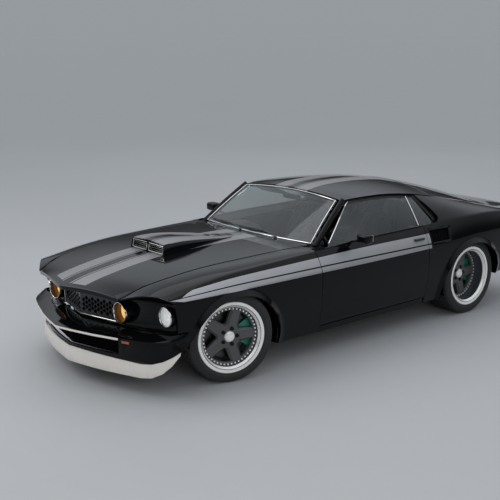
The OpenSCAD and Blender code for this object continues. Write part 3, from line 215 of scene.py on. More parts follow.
@dataclass(frozen=True)
class Finish:
    """A moulded, cast, rolled or coated surface with grain, tone and a little dust."""

    name: str
    colour: Colour
    rough: float
    metallic: float = 0.0
    coat: float = 0.0
    coat_rough: float = 0.05
    grain: float = 600.0
    depth: float = 0.05
    spread: float = 0.15
    tone: float = 0.25
    dust: float = 0.0
    dust_top: float = 0.5
    stretch: Point | None = None
    # Emission: a lamp's own light on its lens, painted light on parts that are no lamp.
    glow: float = 0.0
    shine: float = 0.5

    def material(self) -> bpy.types.Material:
        """The finish's material, made once.

        Returns:
            The Blender material.
        """
        if self.name in bpy.data.materials:
            return bpy.data.materials[self.name]
        made = bpy.data.materials.new(self.name)
        made.use_nodes = True
        made.diffuse_color = (*self.colour, 1.0)
        g = Graph(made.node_tree)
        g.tree.nodes.clear()
        shader = g.add("ShaderNodeBsdfPrincipled")
        g.add("ShaderNodeOutputMaterial", {0: shader.outputs[0]})
        self.dress(g, shader)
        return made

    def texture(self, g: Graph) -> tuple[Socket, Socket]:
        """The surface's height and its varying value about 0.5.

        Args:
            g: The tree to add to.

        Returns:
            The height socket and the value socket.
        """
        if self.stretch:
            lines = g.noise(g.place(self.stretch), self.grain, 3.0)
            return lines, lines
        group = g.add("ShaderNodeGroup", {"Scale": self.grain, "Middle": 0.5, "Spread": 1.0},
                      node_tree=Effects.grain())
        return group.outputs["Height"], group.outputs["Value"]

    def ground(self, g: Graph, value: Socket) -> tuple[Socket, Socket]:
        """The colour and the roughness, which vary with the value."""
        darker = tuple(c * (1.0 - self.tone) for c in self.colour)
        lighter = tuple(min(1.0, c * (1.0 + self.tone)) for c in self.colour)
        rough = g.span(value, 0.2, 0.8, max(0.02, self.rough - self.spread), min(1.0, self.rough + self.spread))
        return g.colour(value, darker, lighter), rough

    def dusting(self, g: Graph) -> Socket:
        """The mask of the road dust."""
        return g.add("ShaderNodeGroup", {"Top": self.dust_top, "Amount": self.dust},
                     node_tree=Effects.dust()).outputs[0]

    def dress(self, g: Graph, shader: bpy.types.Node) -> None:
        """Fills the shader's sockets.

        Args:
            g: The material's tree.
            shader: Its Principled node.
        """
        height, value = self.texture(g)
        colour, rough = self.ground(g, value)
        if self.dust:
            dust = self.dusting(g)
            colour = g.colour(dust, colour, (0.10, 0.095, 0.088))
            rough = g.math("MAXIMUM", rough, g.math("MULTIPLY", dust, 0.8))
        given = {"Base Color": colour, "Roughness": rough, "Metallic": self.metallic,
                 "Specular IOR Level": self.shine}
        if self.coat:
            given |= {"Coat Weight": self.coat, "Coat Roughness": self.coat_rough}
        # Emission: a lamp's light, or painted light on parts that are no lamp.
        if self.glow:
            given |= {"Emission Color": colour, "Emission Strength": self.glow}
        if self.depth:
            given["Normal"] = g.bump(height, self.depth)
        g.fill(shader, given)


@dataclass(frozen=True)
class Paint(Finish):
    """Gloss black lacquer, with satin grey stripes over the top or along the flank.

    The top stripes lie between distances from the middle. A flank stripe's edge or height is a section share,
    given as its slope along X and its value at X = 0.
    """

    colour: Colour = (0.0022, 0.0024, 0.0028)
    rough: float = 0.16
    coat_rough: float = 0.02
    grain: float = 320.0
    depth: float = 0.012
    spread: float = 0.03
    tone: float = 0.2
    dust: float = 0.018
    dust_top: float = 0.45
    shine: float = 0.03
    coat_index: float = 1.26
    stripes: Stripes = Stripes.NONE
    stripe_colour: Colour = (0.27, 0.265, 0.27)
    top_broad: Pair = (0.066, 0.195)
    top_fine: Pair = (0.042, 0.055)
    nose_start: float = 2.289
    point: float = 1.875
    pin_point: float = 1.985
    flank_end: float = -0.752
    broad_low: Pair = (0.095, 1.225)
    broad_height: Pair = (-0.035, 0.43)
    pin_high: Pair = (0.088, 1.165)
    pin_height: Pair = (0.073, 0.18)

    def band(self, g: Graph, value: object, low: object, high: object, soft: float) -> Socket:
        """The mask of one stripe."""
        return g.add("ShaderNodeGroup", {"Value": value, "Low": low, "High": high, "Soft": soft},
                     node_tree=Effects.band()).outputs[0]

    def mask(self, g: Graph) -> Socket | None:
        """Where the stripes are.

        Args:
            g: The material's tree.

        Returns:
            The mask socket, or None for a plain panel.
        """
        if self.stripes is Stripes.NONE:
            return None
        parts = g.add("ShaderNodeSeparateXYZ", {0: g.place()})
        x, y = parts.outputs[0], parts.outputs[1]
        share = g.add("ShaderNodeAttribute", attribute_name="share").outputs["Fac"]
        if self.stripes in (Stripes.TOP, Stripes.SCOOP):
            off = g.math("ABSOLUTE", y)
            start = g.math("SUBTRACT", self.nose_start, g.math("MULTIPLY", off, 0.25))
            both = g.math("MAXIMUM", self.band(g, off, *self.top_broad, 0.001),
                          self.band(g, off, *self.top_fine, 0.001))
            both = g.math("MULTIPLY", both, g.math("LESS_THAN", x, start))
            return both if self.stripes is Stripes.TOP else g.math("MULTIPLY", both, g.span(share, 0.3, 0.7))

        def line(slope: float, start: float) -> Socket:
            """A share that varies along X."""
            return g.math("MULTIPLY_ADD", x, slope, start)

        low, high = line(*self.broad_low), line(*self.pin_high)
        lead = g.math("POWER", g.span(x, self.point, self.point - 0.125), 0.5)
        top = g.math("MULTIPLY_ADD", lead, line(*self.broad_height), low)
        broad = g.math("MULTIPLY", self.band(g, share, low, top, 0.006), g.math("LESS_THAN", x, self.point))
        fade = g.span(x, self.pin_point, self.pin_point - 0.12)
        foot = g.math("SUBTRACT", high, g.math("MULTIPLY", fade, line(*self.pin_height)))
        pin = g.math("MULTIPLY", self.band(g, share, foot, high, 0.004), g.math("LESS_THAN", x, self.pin_point))
        return g.math("MULTIPLY", g.math("MAXIMUM", broad, pin), g.math("GREATER_THAN", x, self.flank_end))

    def dress(self, g: Graph, shader: bpy.types.Node) -> None:
        """Lacquer with an even gloss, stripes and thin dust low down."""
        height, value = self.texture(g)
        colour, rough = self.ground(g, value)
        dust, mask = self.dusting(g), self.mask(g)
        coat = g.math("SUBTRACT", 1.0, g.math("MULTIPLY", dust, 0.7))
        if mask:
            satin = g.colour(g.noise(g.place(), 1800.0, 2.0), tuple(c * 0.88 for c in self.stripe_colour),
                             tuple(c * 1.1 for c in self.stripe_colour))
            colour = g.colour(mask, colour, satin)
            rough = g.math("MULTIPLY_ADD", mask, 0.24, rough)
            coat = g.math("MULTIPLY", coat, g.span(mask, 0.0, 1.0, 1.0, 0.12))
            g.fill(shader, {"Metallic": g.math("MULTIPLY", mask, 0.55)})
        g.fill(shader, {"Base Color": g.colour(dust, colour, (0.09, 0.085, 0.08)), "Roughness": rough,
                        "Coat Weight": coat, "Coat Roughness": self.coat_rough, "Coat IOR": self.coat_index,
                        "Specular IOR Level": self.shine, "Normal": g.bump(height, self.depth)})


@dataclass(frozen=True)
class Clear(Finish):
    """Glass or a clear lens, tinted through, with faint streaks on its gloss."""

    index: float = 1.48

    def dress(self, g: Graph, shader: bpy.types.Node) -> None:
        """Plain transmission with a tint and a barely uneven gloss."""
        height, value = self.texture(g)
        given = {"Base Color": g.colour(value, tuple(c * 0.97 for c in self.colour), self.colour),
                 "Roughness": g.span(value, 0.3, 0.9, self.rough, self.rough + 0.02),
                 "Transmission Weight": 1.0, "IOR": self.index}
        if self.depth:
            given["Normal"] = g.bump(height, self.depth)
        g.fill(shader, given)


@dataclass(frozen=True)
class Leather(Finish):
    """Leather or grained plastic: pebbled cells and a broad, uneven tone."""

    def texture(self, g: Graph) -> tuple[Socket, Socket]:
        """Cells of grain as height, broad noise as value."""
        cells = g.add("ShaderNodeTexVoronoi", {"Vector": g.place(), "Scale": self.grain}, feature="F1")
        broad = g.noise(g.place(), 9.0, 4.0)
        return g.math("SUBTRACT", 1.0, cells.outputs[0]), broad


class Finishes:
    """Every finish on the car, by its use."""

    black = Paint("black_lacquer")
    black_top = Paint("black_lacquer_top", stripes=Stripes.TOP)
    # Its stripes are lighter than the same stripes on the top: a lit copy, painting the flank's brighter
    # reflection.
    black_flank = Paint("black_lacquer_flank", stripes=Stripes.FLANK, stripe_colour=(0.36, 0.36, 0.37))
    black_scoop = Paint("black_lacquer_scoop", stripes=Stripes.SCOOP)
    trim = Finish("satin_black_trim", (0.008, 0.008, 0.0085), 0.38, coat=0.25, coat_rough=0.2, dust=0.2)
    # Near-black painted shade: for plates and walls that stand in for the shade inside openings and gaps, and
    # for the arch liners.
    recess = Finish("painted_shade_black", (0.0016, 0.0016, 0.0016), 0.8, shine=0.06)
    chrome = Finish("bright_chrome", (0.78, 0.77, 0.75), 0.09, metallic=1.0, grain=260.0, depth=0.01,
                    spread=0.04, tone=0.06)
    # Polished metal, only partly metallic: its white diffuse part is painted sheen, bright from every side.
    lip = Finish("polished_lip", (0.92, 0.91, 0.88), 0.24, metallic=0.4, grain=420.0, depth=0.01, spread=0.03,
                 tone=0.015)
    barrel = Finish("brushed_barrel", (0.20, 0.215, 0.235), 0.36, metallic=0.9, grain=420.0, depth=0.01,
                    spread=0.03, tone=0.03)
    raw = Finish("raw_aluminium", (0.86, 0.815, 0.75), 0.40, metallic=0.45, grain=60.0, depth=0.06, spread=0.08,
                 tone=0.10, stretch=(0.5, 0.5, 14.0), dust=0.12, dust_top=0.3)
    spoke = Finish("satin_grey_wheel", (0.085, 0.086, 0.087), 0.40, metallic=0.35, coat=0.2, coat_rough=0.3,
                   grain=900.0, depth=0.03, tone=0.12, dust=0.1)
    rubber = Finish("tyre_rubber", (0.008, 0.008, 0.008), 0.66, grain=700.0, depth=0.12, tone=0.3, dust=0.2,
                    dust_top=0.3, shine=0.3)
    seal = Finish("window_rubber", (0.006, 0.006, 0.006), 0.55, grain=900.0, depth=0.08)
    caliper = Finish("teal_caliper", (0.012, 0.17, 0.115), 0.35, coat=0.4, coat_rough=0.15, grain=500.0,
                     depth=0.08, tone=0.12, dust=0.12)
    disc = Finish("turned_disc", (0.10, 0.098, 0.095), 0.34, metallic=1.0, grain=900.0, depth=0.04, tone=0.2)
    iron = Finish("cast_iron", (0.035, 0.034, 0.033), 0.62, metallic=0.5, grain=220.0, depth=0.4, tone=0.35,
                  dust=0.3)
    structure = Finish("painted_structure", (0.010, 0.010, 0.011), 0.5, grain=180.0, depth=0.1, tone=0.3,
                       dust=0.25)
    steel = Finish("exhaust_steel", (0.33, 0.31, 0.29), 0.34, metallic=1.0, grain=70.0, depth=0.05, tone=0.25,
                   dust=0.25)
    glass = Clear("window_glass", (0.58, 0.62, 0.62), 0.0, grain=3.0, depth=0.0)
    # The bucket glows faintly: painted light from the amber lamp falling into it.
    bucket = Finish("amber_bucket", (0.060, 0.022, 0.006), 0.30, coat=0.5, coat_rough=0.1, tone=0.3, glow=0.25)
    # The reflector glows: painted light that keeps the headlamp bowl bright white.
    reflector = Finish("lamp_reflector", (0.94, 0.94, 0.93), 0.34, metallic=0.3, grain=130.0, depth=0.5,
                       spread=0.1, tone=0.08, glow=0.3)
    lens = Clear("clear_lens", (0.92, 0.93, 0.93), 0.01, grain=120.0, depth=0.10)
    amber = Finish("amber_lens", (0.90, 0.46, 0.10), 0.16, coat=0.8, grain=90.0, depth=0.3, tone=0.35, glow=1.0)
    signal = Finish("signal_lens", (0.72, 0.14, 0.045), 0.18, coat=0.8, grain=110.0, depth=0.3, tone=0.3)
    red = Finish("red_lens", (0.30, 0.006, 0.008), 0.14, coat=0.9, grain=110.0, depth=0.3, tone=0.3)
    mirror = Finish("mirror_glass", (0.80, 0.82, 0.83), 0.03, metallic=1.0, grain=40.0, depth=0.0, spread=0.02,
                    tone=0.04)
    leather = Leather("dark_leather", (0.017, 0.017, 0.018), 0.46, grain=650.0, depth=0.35, tone=0.3)
    stitch = Finish("seat_thread", (0.10, 0.10, 0.10), 0.7, grain=2000.0, depth=0.3)
    plastic = Leather("grained_plastic", (0.015, 0.016, 0.016), 0.55, grain=900.0, depth=0.3, tone=0.2)
    carpet = Finish("cabin_carpet", (0.010, 0.010, 0.010), 0.95, grain=1400.0, depth=0.9, tone=0.5)
    lining = Finish("roof_lining", (0.05, 0.05, 0.05), 0.9, grain=1200.0, depth=0.4, tone=0.3)


# ---- shapes


class Shape:
    """A mesh in the making, in millimetres, with the operators that the pieces share."""

    def __init__(self) -> None:
        """Starts with nothing."""
        self.bm = bmesh.new()
        self.built = True

    @classmethod
    def of_node(cls, name: str, flat: float = 0.6) -> "Shape":
        """A merged copy of a CAD node, with its flat faces joined.

        Args:
            name: The node.
            flat: Angle in degrees under which faces count as one.

        Returns:
            The copy.
        """
        shape = cls()
        shape.built = False
        shape.bm.from_mesh(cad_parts[name].data)
        bmesh.ops.scale(shape.bm, vec=Vector((1000.0,) * 3), verts=shape.bm.verts)
        bmesh.ops.remove_doubles(shape.bm, verts=shape.bm.verts, dist=0.02)
        bmesh.ops.dissolve_limit(shape.bm, angle_limit=math.radians(flat), verts=shape.bm.verts,
                                 edges=shape.bm.edges)
        return shape

    def layer(self, name: str) -> object:
        """The float layer of that name on the vertices."""
        layers = self.bm.verts.layers.float
        return layers.get(name) or layers.new(name)

    def skin(self, cols: int, rows: int, at: Surface, back: Surface | None = None, rim: float = 0.0,
             share: Callable[[float, float], float] | None = None) -> "Shape":
        """Lays a grid on a surface, and closes it with a back.

        Args:
            cols: Cells along u.
            rows: Cells along v.
            at: The surface by shares u and v.
            back: The surface of its inner side, by the same shares.
            rim: Width of the rounding on the rim, or 0.
            share: What to keep in the share layer.

        Returns:
            The shape itself.
        """
        u, v, kept = self.layer("u"), self.layer("v"), self.layer("share")
        made = bmesh.ops.create_grid(self.bm, x_segments=cols, y_segments=rows, size=1.0)["verts"]
        front = set(made)
        for p in made:
            p[u], p[v] = (p.co.x + 1.0) / 2.0, (p.co.y + 1.0) / 2.0
            if share:
                p[kept] = share(p[u], p[v])
        walls: list = []
        if back:
            faces = list({f for p in made for f in p.link_faces})
            edges = list({e for p in made for e in p.link_edges})
            grown = bmesh.ops.extrude_face_region(self.bm, geom=faces + edges, use_keep_orig=True)["geom"]
            for p in (g for g in grown if isinstance(g, bmesh.types.BMVert)):
                p.co = back(p[u], p[v])
            walls = [f for p in made for f in p.link_faces if not all(q in front for q in f.verts)]
        for p in made:
            p.co = at(p[u], p[v])
        if rim and walls:
            wall_set = set(walls)
            sharp = {e for f in wall_set for e in f.edges if sum(g in wall_set for g in e.link_faces) == 1}
            self.round(list(sharp), rim)
        return self

    def round(self, edges: Sequence, width: float, segments: int = 2) -> None:
        """Rounds the given edges."""
        bmesh.ops.bevel(self.bm, geom=list(edges), offset=width, offset_type="OFFSET", segments=segments,
                        profile=0.5, affect="EDGES", clamp_overlap=True, material=-1)

    def round_sharp(self, width: float, angle: float = 35.0, segments: int = 2) -> "Shape":
        """Rounds every edge that is sharper than the angle."""
        limit = math.radians(angle)
        self.round([e for e in self.bm.edges if len(e.link_faces) == 2 and e.calc_face_angle(0.0) > limit],
                   width, segments)
        return self

    def prism(self, outline: Sequence[Pair], low: float, high: float,
              matrix: Matrix | None = None, rim: float = 0.0) -> None:
        """Extrudes an outline along Z and puts it in its place.

        Args:
            outline: Points in X and Y.
            low: Its lower Z.
            high: Its upper Z.
            matrix: Where it goes.
            rim: Width of the rounding on its edges, or 0.
        """
        base = [self.bm.verts.new((x, y, low)) for x, y in outline]
        face = self.bm.faces.new(base)
        grown = bmesh.ops.extrude_face_region(self.bm, geom=[face, *face.edges], use_keep_orig=True)["geom"]
        raised = [g for g in grown if isinstance(g, bmesh.types.BMVert)]
        bmesh.ops.translate(self.bm, vec=(0.0, 0.0, high - low), verts=raised)
        whole = base + raised
        if matrix:
            bmesh.ops.transform(self.bm, matrix=matrix, verts=whole)
        if rim:
            self.round(list({e for p in whole for e in p.link_edges}), rim)

    def wedge(self, wide: Sequence[Pair], narrow: Sequence[Pair], low: float,
              shoulder: float, high: float, matrix: Matrix) -> None:
        """A block with broad chamfers: wide up to its shoulder, narrow at its top.

        Args:
            wide: Outline of the foot.
            narrow: Outline of the top, with as many points.
            low: Height of the foot.
            shoulder: Height where the chamfer starts.
            high: Height of the top.
            matrix: Where it goes.
        """
        face = self.bm.faces.new([self.bm.verts.new((x, y, low)) for x, y in wide])
        whole = list(face.verts)
        for outline, z in ((wide, shoulder), (narrow, high)):
            grown = bmesh.ops.extrude_face_region(self.bm, geom=[face, *face.edges])["geom"]
            face = next(g for g in grown if isinstance(g, bmesh.types.BMFace))
            for p, (x, y) in zip(face.verts, outline):
                p.co = (x, y, z)
            whole += list(face.verts)
        bmesh.ops.transform(self.bm, matrix=matrix, verts=whole)

    def box(self, low: Sequence[float], high: Sequence[float], rim: float = 0.0, segments: int = 2,
            matrix: Matrix | None = None) -> "Shape":
        """A box between two corners with rounded edges."""
        size = [b - a for a, b in zip(low, high)]
        centre = [(a + b) / 2.0 for a, b in zip(low, high)]
        where = Matrix.Translation(centre) @ Matrix.Diagonal((*size, 1.0))
        made = bmesh.ops.create_cube(self.bm, size=1.0, matrix=(matrix or Matrix()) @ where)["verts"]
        if rim:
            self.round(list({e for p in made for e in p.link_edges}), rim, segments)
        return self

    def lathe(self, section: Sequence[Pair], steps: int, matrix: Matrix | None = None,
              closed: bool = True) -> "Shape":
        """Spins a section of radius and height about Z and puts it in its place.

        Args:
            section: Points of radius and height.
            steps: Steps of the full turn.
            matrix: Where it goes.
            closed: Whether the section's end joins its start.

        Returns:
            The shape itself.
        """
        before = set(self.bm.verts)
        line = [self.bm.verts.new((r, 0.0, z)) for r, z in section]
        pairs = list(zip(line, line[1:])) + ([(line[-1], line[0])] if closed else [])
        edges = [self.bm.edges.new(pair) for pair in pairs]
        bmesh.ops.spin(self.bm, geom=line + edges, cent=(0.0, 0.0, 0.0), axis=UP, angle=2.0 * math.pi,
                       steps=steps, use_merge=True)
        made = [p for p in self.bm.verts if p not in before]
        bmesh.ops.remove_doubles(self.bm, verts=made, dist=0.01)
        made = [p for p in self.bm.verts if p not in before]
        if matrix:
            bmesh.ops.transform(self.bm, matrix=matrix, verts=made)
        return self

    def sweep(self, path: Sequence[Vector], wide: float, high: float, up: Vector, sides: int = 8,
              closed: bool = False) -> "Shape":
        """Runs a rounded bar along a path.

        Args:
            path: Points of its middle line.
            wide: Its width across the path.
            high: Its height along up.
            up: The direction that stays up.
            sides: Sides of its section; 4 gives a flat bar.
            closed: Whether the path's end joins its start.

        Returns:
            The shape itself.
        """
        grow, turn = (math.sqrt(2.0), math.pi / 4.0) if sides == 4 else (1.0, 0.0)
        rings = []
        count = len(path)
        for i, p in enumerate(path):
            a = path[i - 1] if closed or i else p
            b = path[(i + 1) % count] if closed or i < count - 1 else p
            along = (b - a).normalized()
            side = along.cross(up).normalized()
            frame_of = Matrix((side * wide / 2.0, side.cross(along) * high / 2.0, along)).transposed().to_4x4()
            where = Matrix.Translation(p) @ frame_of @ Matrix.Rotation(turn, 4, "Z")
            ring = bmesh.ops.create_circle(self.bm, segments=sides, radius=grow, matrix=where)["verts"]
            rings.append(list({e for q in ring for e in q.link_edges}))
        for a, b in zip(rings, rings[1:] + (rings[:1] if closed else [])):
            bmesh.ops.bridge_loops(self.bm, edges=a + b)
        if not closed:
            for ring in (rings[0], rings[-1]):
                bmesh.ops.edgeloop_fill(self.bm, edges=ring)
        return self

    def mirrored(self) -> "Shape":
        """Adds the same shape on the other side of the car."""
        twin = bmesh.ops.duplicate(self.bm, geom=[*self.bm.verts, *self.bm.edges, *self.bm.faces])["geom"]
        points = [g for g in twin if isinstance(g, bmesh.types.BMVert)]
        bmesh.ops.scale(self.bm, vec=(1.0, -1.0, 1.0), verts=points)
        bmesh.ops.reverse_faces(self.bm, faces=[g for g in twin if isinstance(g, bmesh.types.BMFace)])
        return self

    def flipped(self, side: Side) -> "Shape":
        """Moves the whole shape to that side of the car."""
        if side is Side.RIGHT:
            bmesh.ops.scale(self.bm, vec=(1.0, -1.0, 1.0), verts=self.bm.verts)
            bmesh.ops.reverse_faces(self.bm, faces=self.bm.faces)
        return self

    def publish(self, name: str, body: str, finish: Finish, slot: str, replaces: Sequence[str] = (),
                sharp: float = 34.0) -> bpy.types.Object:
        """Makes the object, dresses it and lets it ride.

        Args:
            name: The piece's name.
            body: The CAD body that it rides on.
            finish: Its finish.
            slot: Not used.
            replaces: CAD nodes that it stands for.
            sharp: Angle in degrees past which an edge stays sharp.

        Returns:
            The new object.
        """
        bm = self.bm
        if self.built:
            bmesh.ops.recalc_face_normals(bm, faces=bm.faces)
        for label in ("u", "v"):
            layer = bm.verts.layers.float.get(label)
            if layer:
                bm.verts.layers.float.remove(layer)
        bmesh.ops.scale(bm, vec=Vector((0.001,) * 3), verts=bm.verts)
        limit = math.radians(sharp)
        for face in bm.faces:
            face.smooth = True
        for edge in bm.edges:
            edge.smooth = len(edge.link_faces) == 2 and edge.calc_face_angle(0.0) < limit
        mesh = bpy.data.meshes.new(name)
        bm.to_mesh(mesh)
        bm.free()
        mesh.materials.append(finish.material())
        made = bpy.data.objects.new(name, mesh)
        bpy.context.scene.collection.objects.link(made)
        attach(made, body)
        if replaces:
            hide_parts(*replaces)
        LOG.info("%s: %d faces on %s", name, len(mesh.polygons), body)
        return made

    def on(self, side: Side, name: str, body: str, finish: Finish, slot: str,
           replaces: Sequence[str] = ()) -> None:
        """Publishes the shape on a side, whose word stands for {} in the names."""
        names = [text.format(side.word) for text in (name, body, *replaces)]
        self.flipped(side).publish(names[0], names[1], finish, slot, names[2:])


# ---- body lines


@dataclass(frozen=True)
class Arch:
    """A wheel arch in the body side, with the lip that stands out round it."""

    x: float
    z: float
    r: float
    flare: float = 29.0
    wide: float = 46.0

    def edge(self, x: float) -> float:
        """The height of the arch's edge at x, or 0 outside it."""
        off = abs(x - self.x)
        return self.z + math.sqrt(self.r**2 - off**2) if off < self.r else 0.0

    def out(self, x: float, z: float) -> float:
        """How far the side stands out at a point because of the lip."""
        far = math.hypot(x - self.x, z - self.z) - self.r
        if far > self.wide:
            return 0.0
        turn = math.degrees(math.atan2(z - self.z, x - self.x)) / 180.0
        fade = math.sin(math.pi * mix(0.12, 0.88, min(1.0, max(0.0, turn)))) ** 0.6
        return self.flare * fade * (1.0 - max(0.0, far / self.wide)) ** 1.15


@dataclass(frozen=True)
class BodyLines:
    """The lines that the outer panels follow, in millimetres, as in the solids."""

    half: float = 893.0
    belt: float = 860.0
    cabin: float = 360.0
    x_front: float = 2380.0
    xf: float = 1420.0
    xr: float = -1323.0
    x_end: float = -2333.0
    door_x0: float = 560.0
    door_x1: float = -715.0
    hood_back: float = 620.0
    deck_front: float = -1988.0
    strip_x: float = -1920.0
    roof_back: float = -1038.0
    gap: float = 6.0
    seam: float = 2.5
    lid: float = 30.0
    rail_share: float = 0.45
    glass_in: float = 38.0
    front_arch: Arch = Arch(1420.0, 223.0, 432.0)
    rear_arch: Arch = Arch(-1323.0, 240.0, 415.0)
    side_rows: Rows = (
        (2260, 813, 682, 741, 708, 412), (1980, 852, 688, 785, 735, 390), (1750, 880, 692, 802, 768, 307),
        (1420, 893, 694, 808, 803, 217), (1000, 893, 692, 806, 822, 202), (560, 889, 690, 803, 838, 197),
        (0, 889, 690, 805, 860, 197), (-715, 893, 697, 812, 872, 197), (-1000, 898, 703, 826, 885, 202),
        (-1323, 905, 712, 842, 893, 217), (-1703, 900, 720, 832, 884, 292), (-2053, 880, 718, 810, 844, 322),
        (-2333, 845, 714, 780, 818, 337))
    hood_rows: Rows = (
        (2340, 535, 682, 710), (2192, 548, 697, 757), (2020, 588, 763, 790), (1750, 612, 808, 832),
        (1500, 626, 832, 855), (1120, 640, 845, 868), (800, 646, 851, 871), (520, 650, 850, 866))
    roof_shares: Rows = (
        (60, 585, 0.794, 0.911), (-100, 612, 0.825, 0.978), (-400, 625, 0.817, 1.0), (-715, 628, 0.731, 0.961),
        (-1000, 624, 0.594, 0.861), (-1323, 616, 0.414, 0.689), (-1703, 604, 0.194, 0.406),
        (-2000, 594, 0.006, 0.122), (-2333, 575, -0.083, -0.028))

    @property
    def roof_rows(self) -> Rows:
        """Roof rows with heights in place of shares."""
        return [(x, y, self.belt + self.cabin * a, self.belt + self.cabin * b)
                for x, y, a, b in self.roof_shares]

    @staticmethod
    def track(rows: Rows, x: float, k: int) -> float:
        """Column k of a table at x, on a smooth curve through its rows."""
        i = 0
        while i < len(rows) - 2 and x < rows[i + 1][0]:
            i += 1

        def slope(j: int) -> float:
            """The curve's slope at a row."""
            a, b = rows[max(j - 1, 0)], rows[min(j + 1, len(rows) - 1)]
            return (b[k] - a[k]) / (b[0] - a[0])

        h = rows[i + 1][0] - rows[i][0]
        u = (x - rows[i][0]) / h
        return ((2 * u**3 - 3 * u**2 + 1) * rows[i][k] + (u**3 - 2 * u**2 + u) * h * slope(i)
                + (3 * u**2 - 2 * u**3) * rows[i + 1][k] + (u**3 - u**2) * h * slope(i + 1))

    def column(self, x: float) -> tuple[float, ...]:
        """Crease y and z, belt y and z, hem z, then rail y and z at x."""
        top = self.hood_rows if x > self.xf - 1200 else self.roof_rows
        return (*(self.track(self.side_rows, x, k) for k in range(1, 6)), self.track(top, x, 1),
                self.track(top, x, 2))

    @staticmethod
    def section(line: Sequence[float], s: float) -> Pair:
        """Y and Z on the body side at share s: 0 hem, 1 crease, 2 belt, 3 hood edge or roof rail."""
        cy, cz, by, bz, hem, ry, rz = line
        if s <= 1.0:
            return cy + 7.0 * math.sin(math.pi * s) - 52.0 * (1.0 - s) ** 3, mix(hem, cz, s)
        if s <= 2.0:
            return mix(cy, by, s - 1.0) + 7.0 * math.sin(math.pi * (s - 1.0)), mix(cz, bz, s - 1.0)
        crown = 7.0 * math.sin(math.pi * (s - 2.0))
        return mix(by, ry, s - 2.0) + crown, mix(bz, rz, s - 2.0) + crown

    def side(self, x: float, s: float) -> Vector:
        """A point on the left body side, with the crease and the belt line rounded off."""
        line = self.column(x)
        total = [0.0, 0.0]
        for k, weight in ((-2, 1), (-1, 2), (0, 3), (1, 2), (2, 1)):
            step = 0.016 if s < 1.0 - 0.04 else 0.03
            y, z = self.section(line, s + k * step)
            total[0] += weight * y
            total[1] += weight * z
        return Vector((x, total[0] / 9.0, total[1] / 9.0))

    @staticmethod
    def inward(s: float, thick: float) -> Vector:
        """The step from the outer to the inner side of a side panel."""
        across = 1.0 if s <= 1.5 else mix(0.85, 0.25, min(1.0, max(0.0, (s - 2.2) / 0.7)))
        down = 0.0 if s <= 1.5 else (s - 1.5) * 1.2 if s <= 2.0 else min(1.0, 0.6 + (s - 2.0) * 0.8)
        return Vector((0.0, -thick * across, -thick * down))

    def share_at(self, x: float, z: float) -> float:
        """The share below the crease for a height."""
        hem, crease = self.track(self.side_rows, x, 5), self.track(self.side_rows, x, 2)
        return (z - hem) / (crease - hem)

    def parted(self, rows: Rows, x: float, q: float) -> float:
        """Share q of a panel's half width, less the gap beside it."""
        return q * (1.0 - (self.gap + self.seam) / self.track(rows, x, 1))

    def belt_point(self, x: float) -> Vector:
        """The point on the belt line at x."""
        return Vector((x, self.track(self.side_rows, x, 3), self.track(self.side_rows, x, 4)))

    def crown(self, rows: Rows, x: float, q: float) -> Vector:
        """A point on the hood, roof or deck: q is 1 at the left edge and -1 at the right."""
        half, edge, middle = (self.track(rows, x, k) for k in (1, 2, 3))
        return Vector((x, q * half, mix(middle, edge, q * q)))

    def hood_z(self, x: float, y: float) -> float:
        """The hood's height at a place."""
        return self.crown(self.hood_rows, x, y / self.track(self.hood_rows, x, 1)).z

    def hood_nose(self, q: float) -> float:
        """The hood's front edge at share q."""
        return self.x_front - 48.0 - 140.0 * abs(q) ** 1.15

    def divider(self, t: float) -> float:
        """The divider between door glass and quarter glass, by height share."""
        return mix(self.door_x1 + 5.0, self.door_x1 + 26.0, t)

    def quarter_edge(self, t: float) -> float:
        """The rear edge of the quarter window, by height share."""
        return (mix(self.door_x1 - 222.0, self.door_x1 - 58.0, max(0.0, t - 0.08) ** 1.5)
                + 46.0 * max(0.0, 0.16 - t) / 0.16)

    def glass(self, x: float, t: float) -> Vector:
        """A point on the side glass: t is 0 at its lower edge and 1 at the roof rail."""
        rail = min(x, self.xf - 1364.0)
        foot = self.belt_point(x)
        top_z = self.track(self.roof_rows, rail, 2) - self.lid * self.rail_share - self.gap - 2.0
        top_y = self.track(self.roof_rows, rail, 1) - 8.0
        y = mix(foot.y - self.glass_in, top_y, t) + 6.0 * math.sin(math.pi * t)
        return Vector((x, y, mix(foot.z - self.glass_in * 0.7, top_z, t)))

    @property
    def screen_half(self) -> float:
        """Half the width of the windscreen's foot."""
        return self.half - 221.0

    def screen(self, q: float, u: float) -> Vector:
        """A point on the windscreen: q across, u from its lower to its upper edge."""
        low = Vector((self.xf - 895.0 - 68.0 * q * q, q * self.screen_half, self.belt - 4.0 - 4.0 * q * q))
        high = Vector((self.xf - 1352.0 + 6.0 * q * q, q * (self.half - 327.0),
                       self.belt + self.cabin * 0.894 - 36.0 * q * q))
        return low.lerp(high, u) + 10.0 * math.sin(math.pi * u) * Vector((0.55, 0.0, 0.6))


LINES = BodyLines()


# ---- outer panels


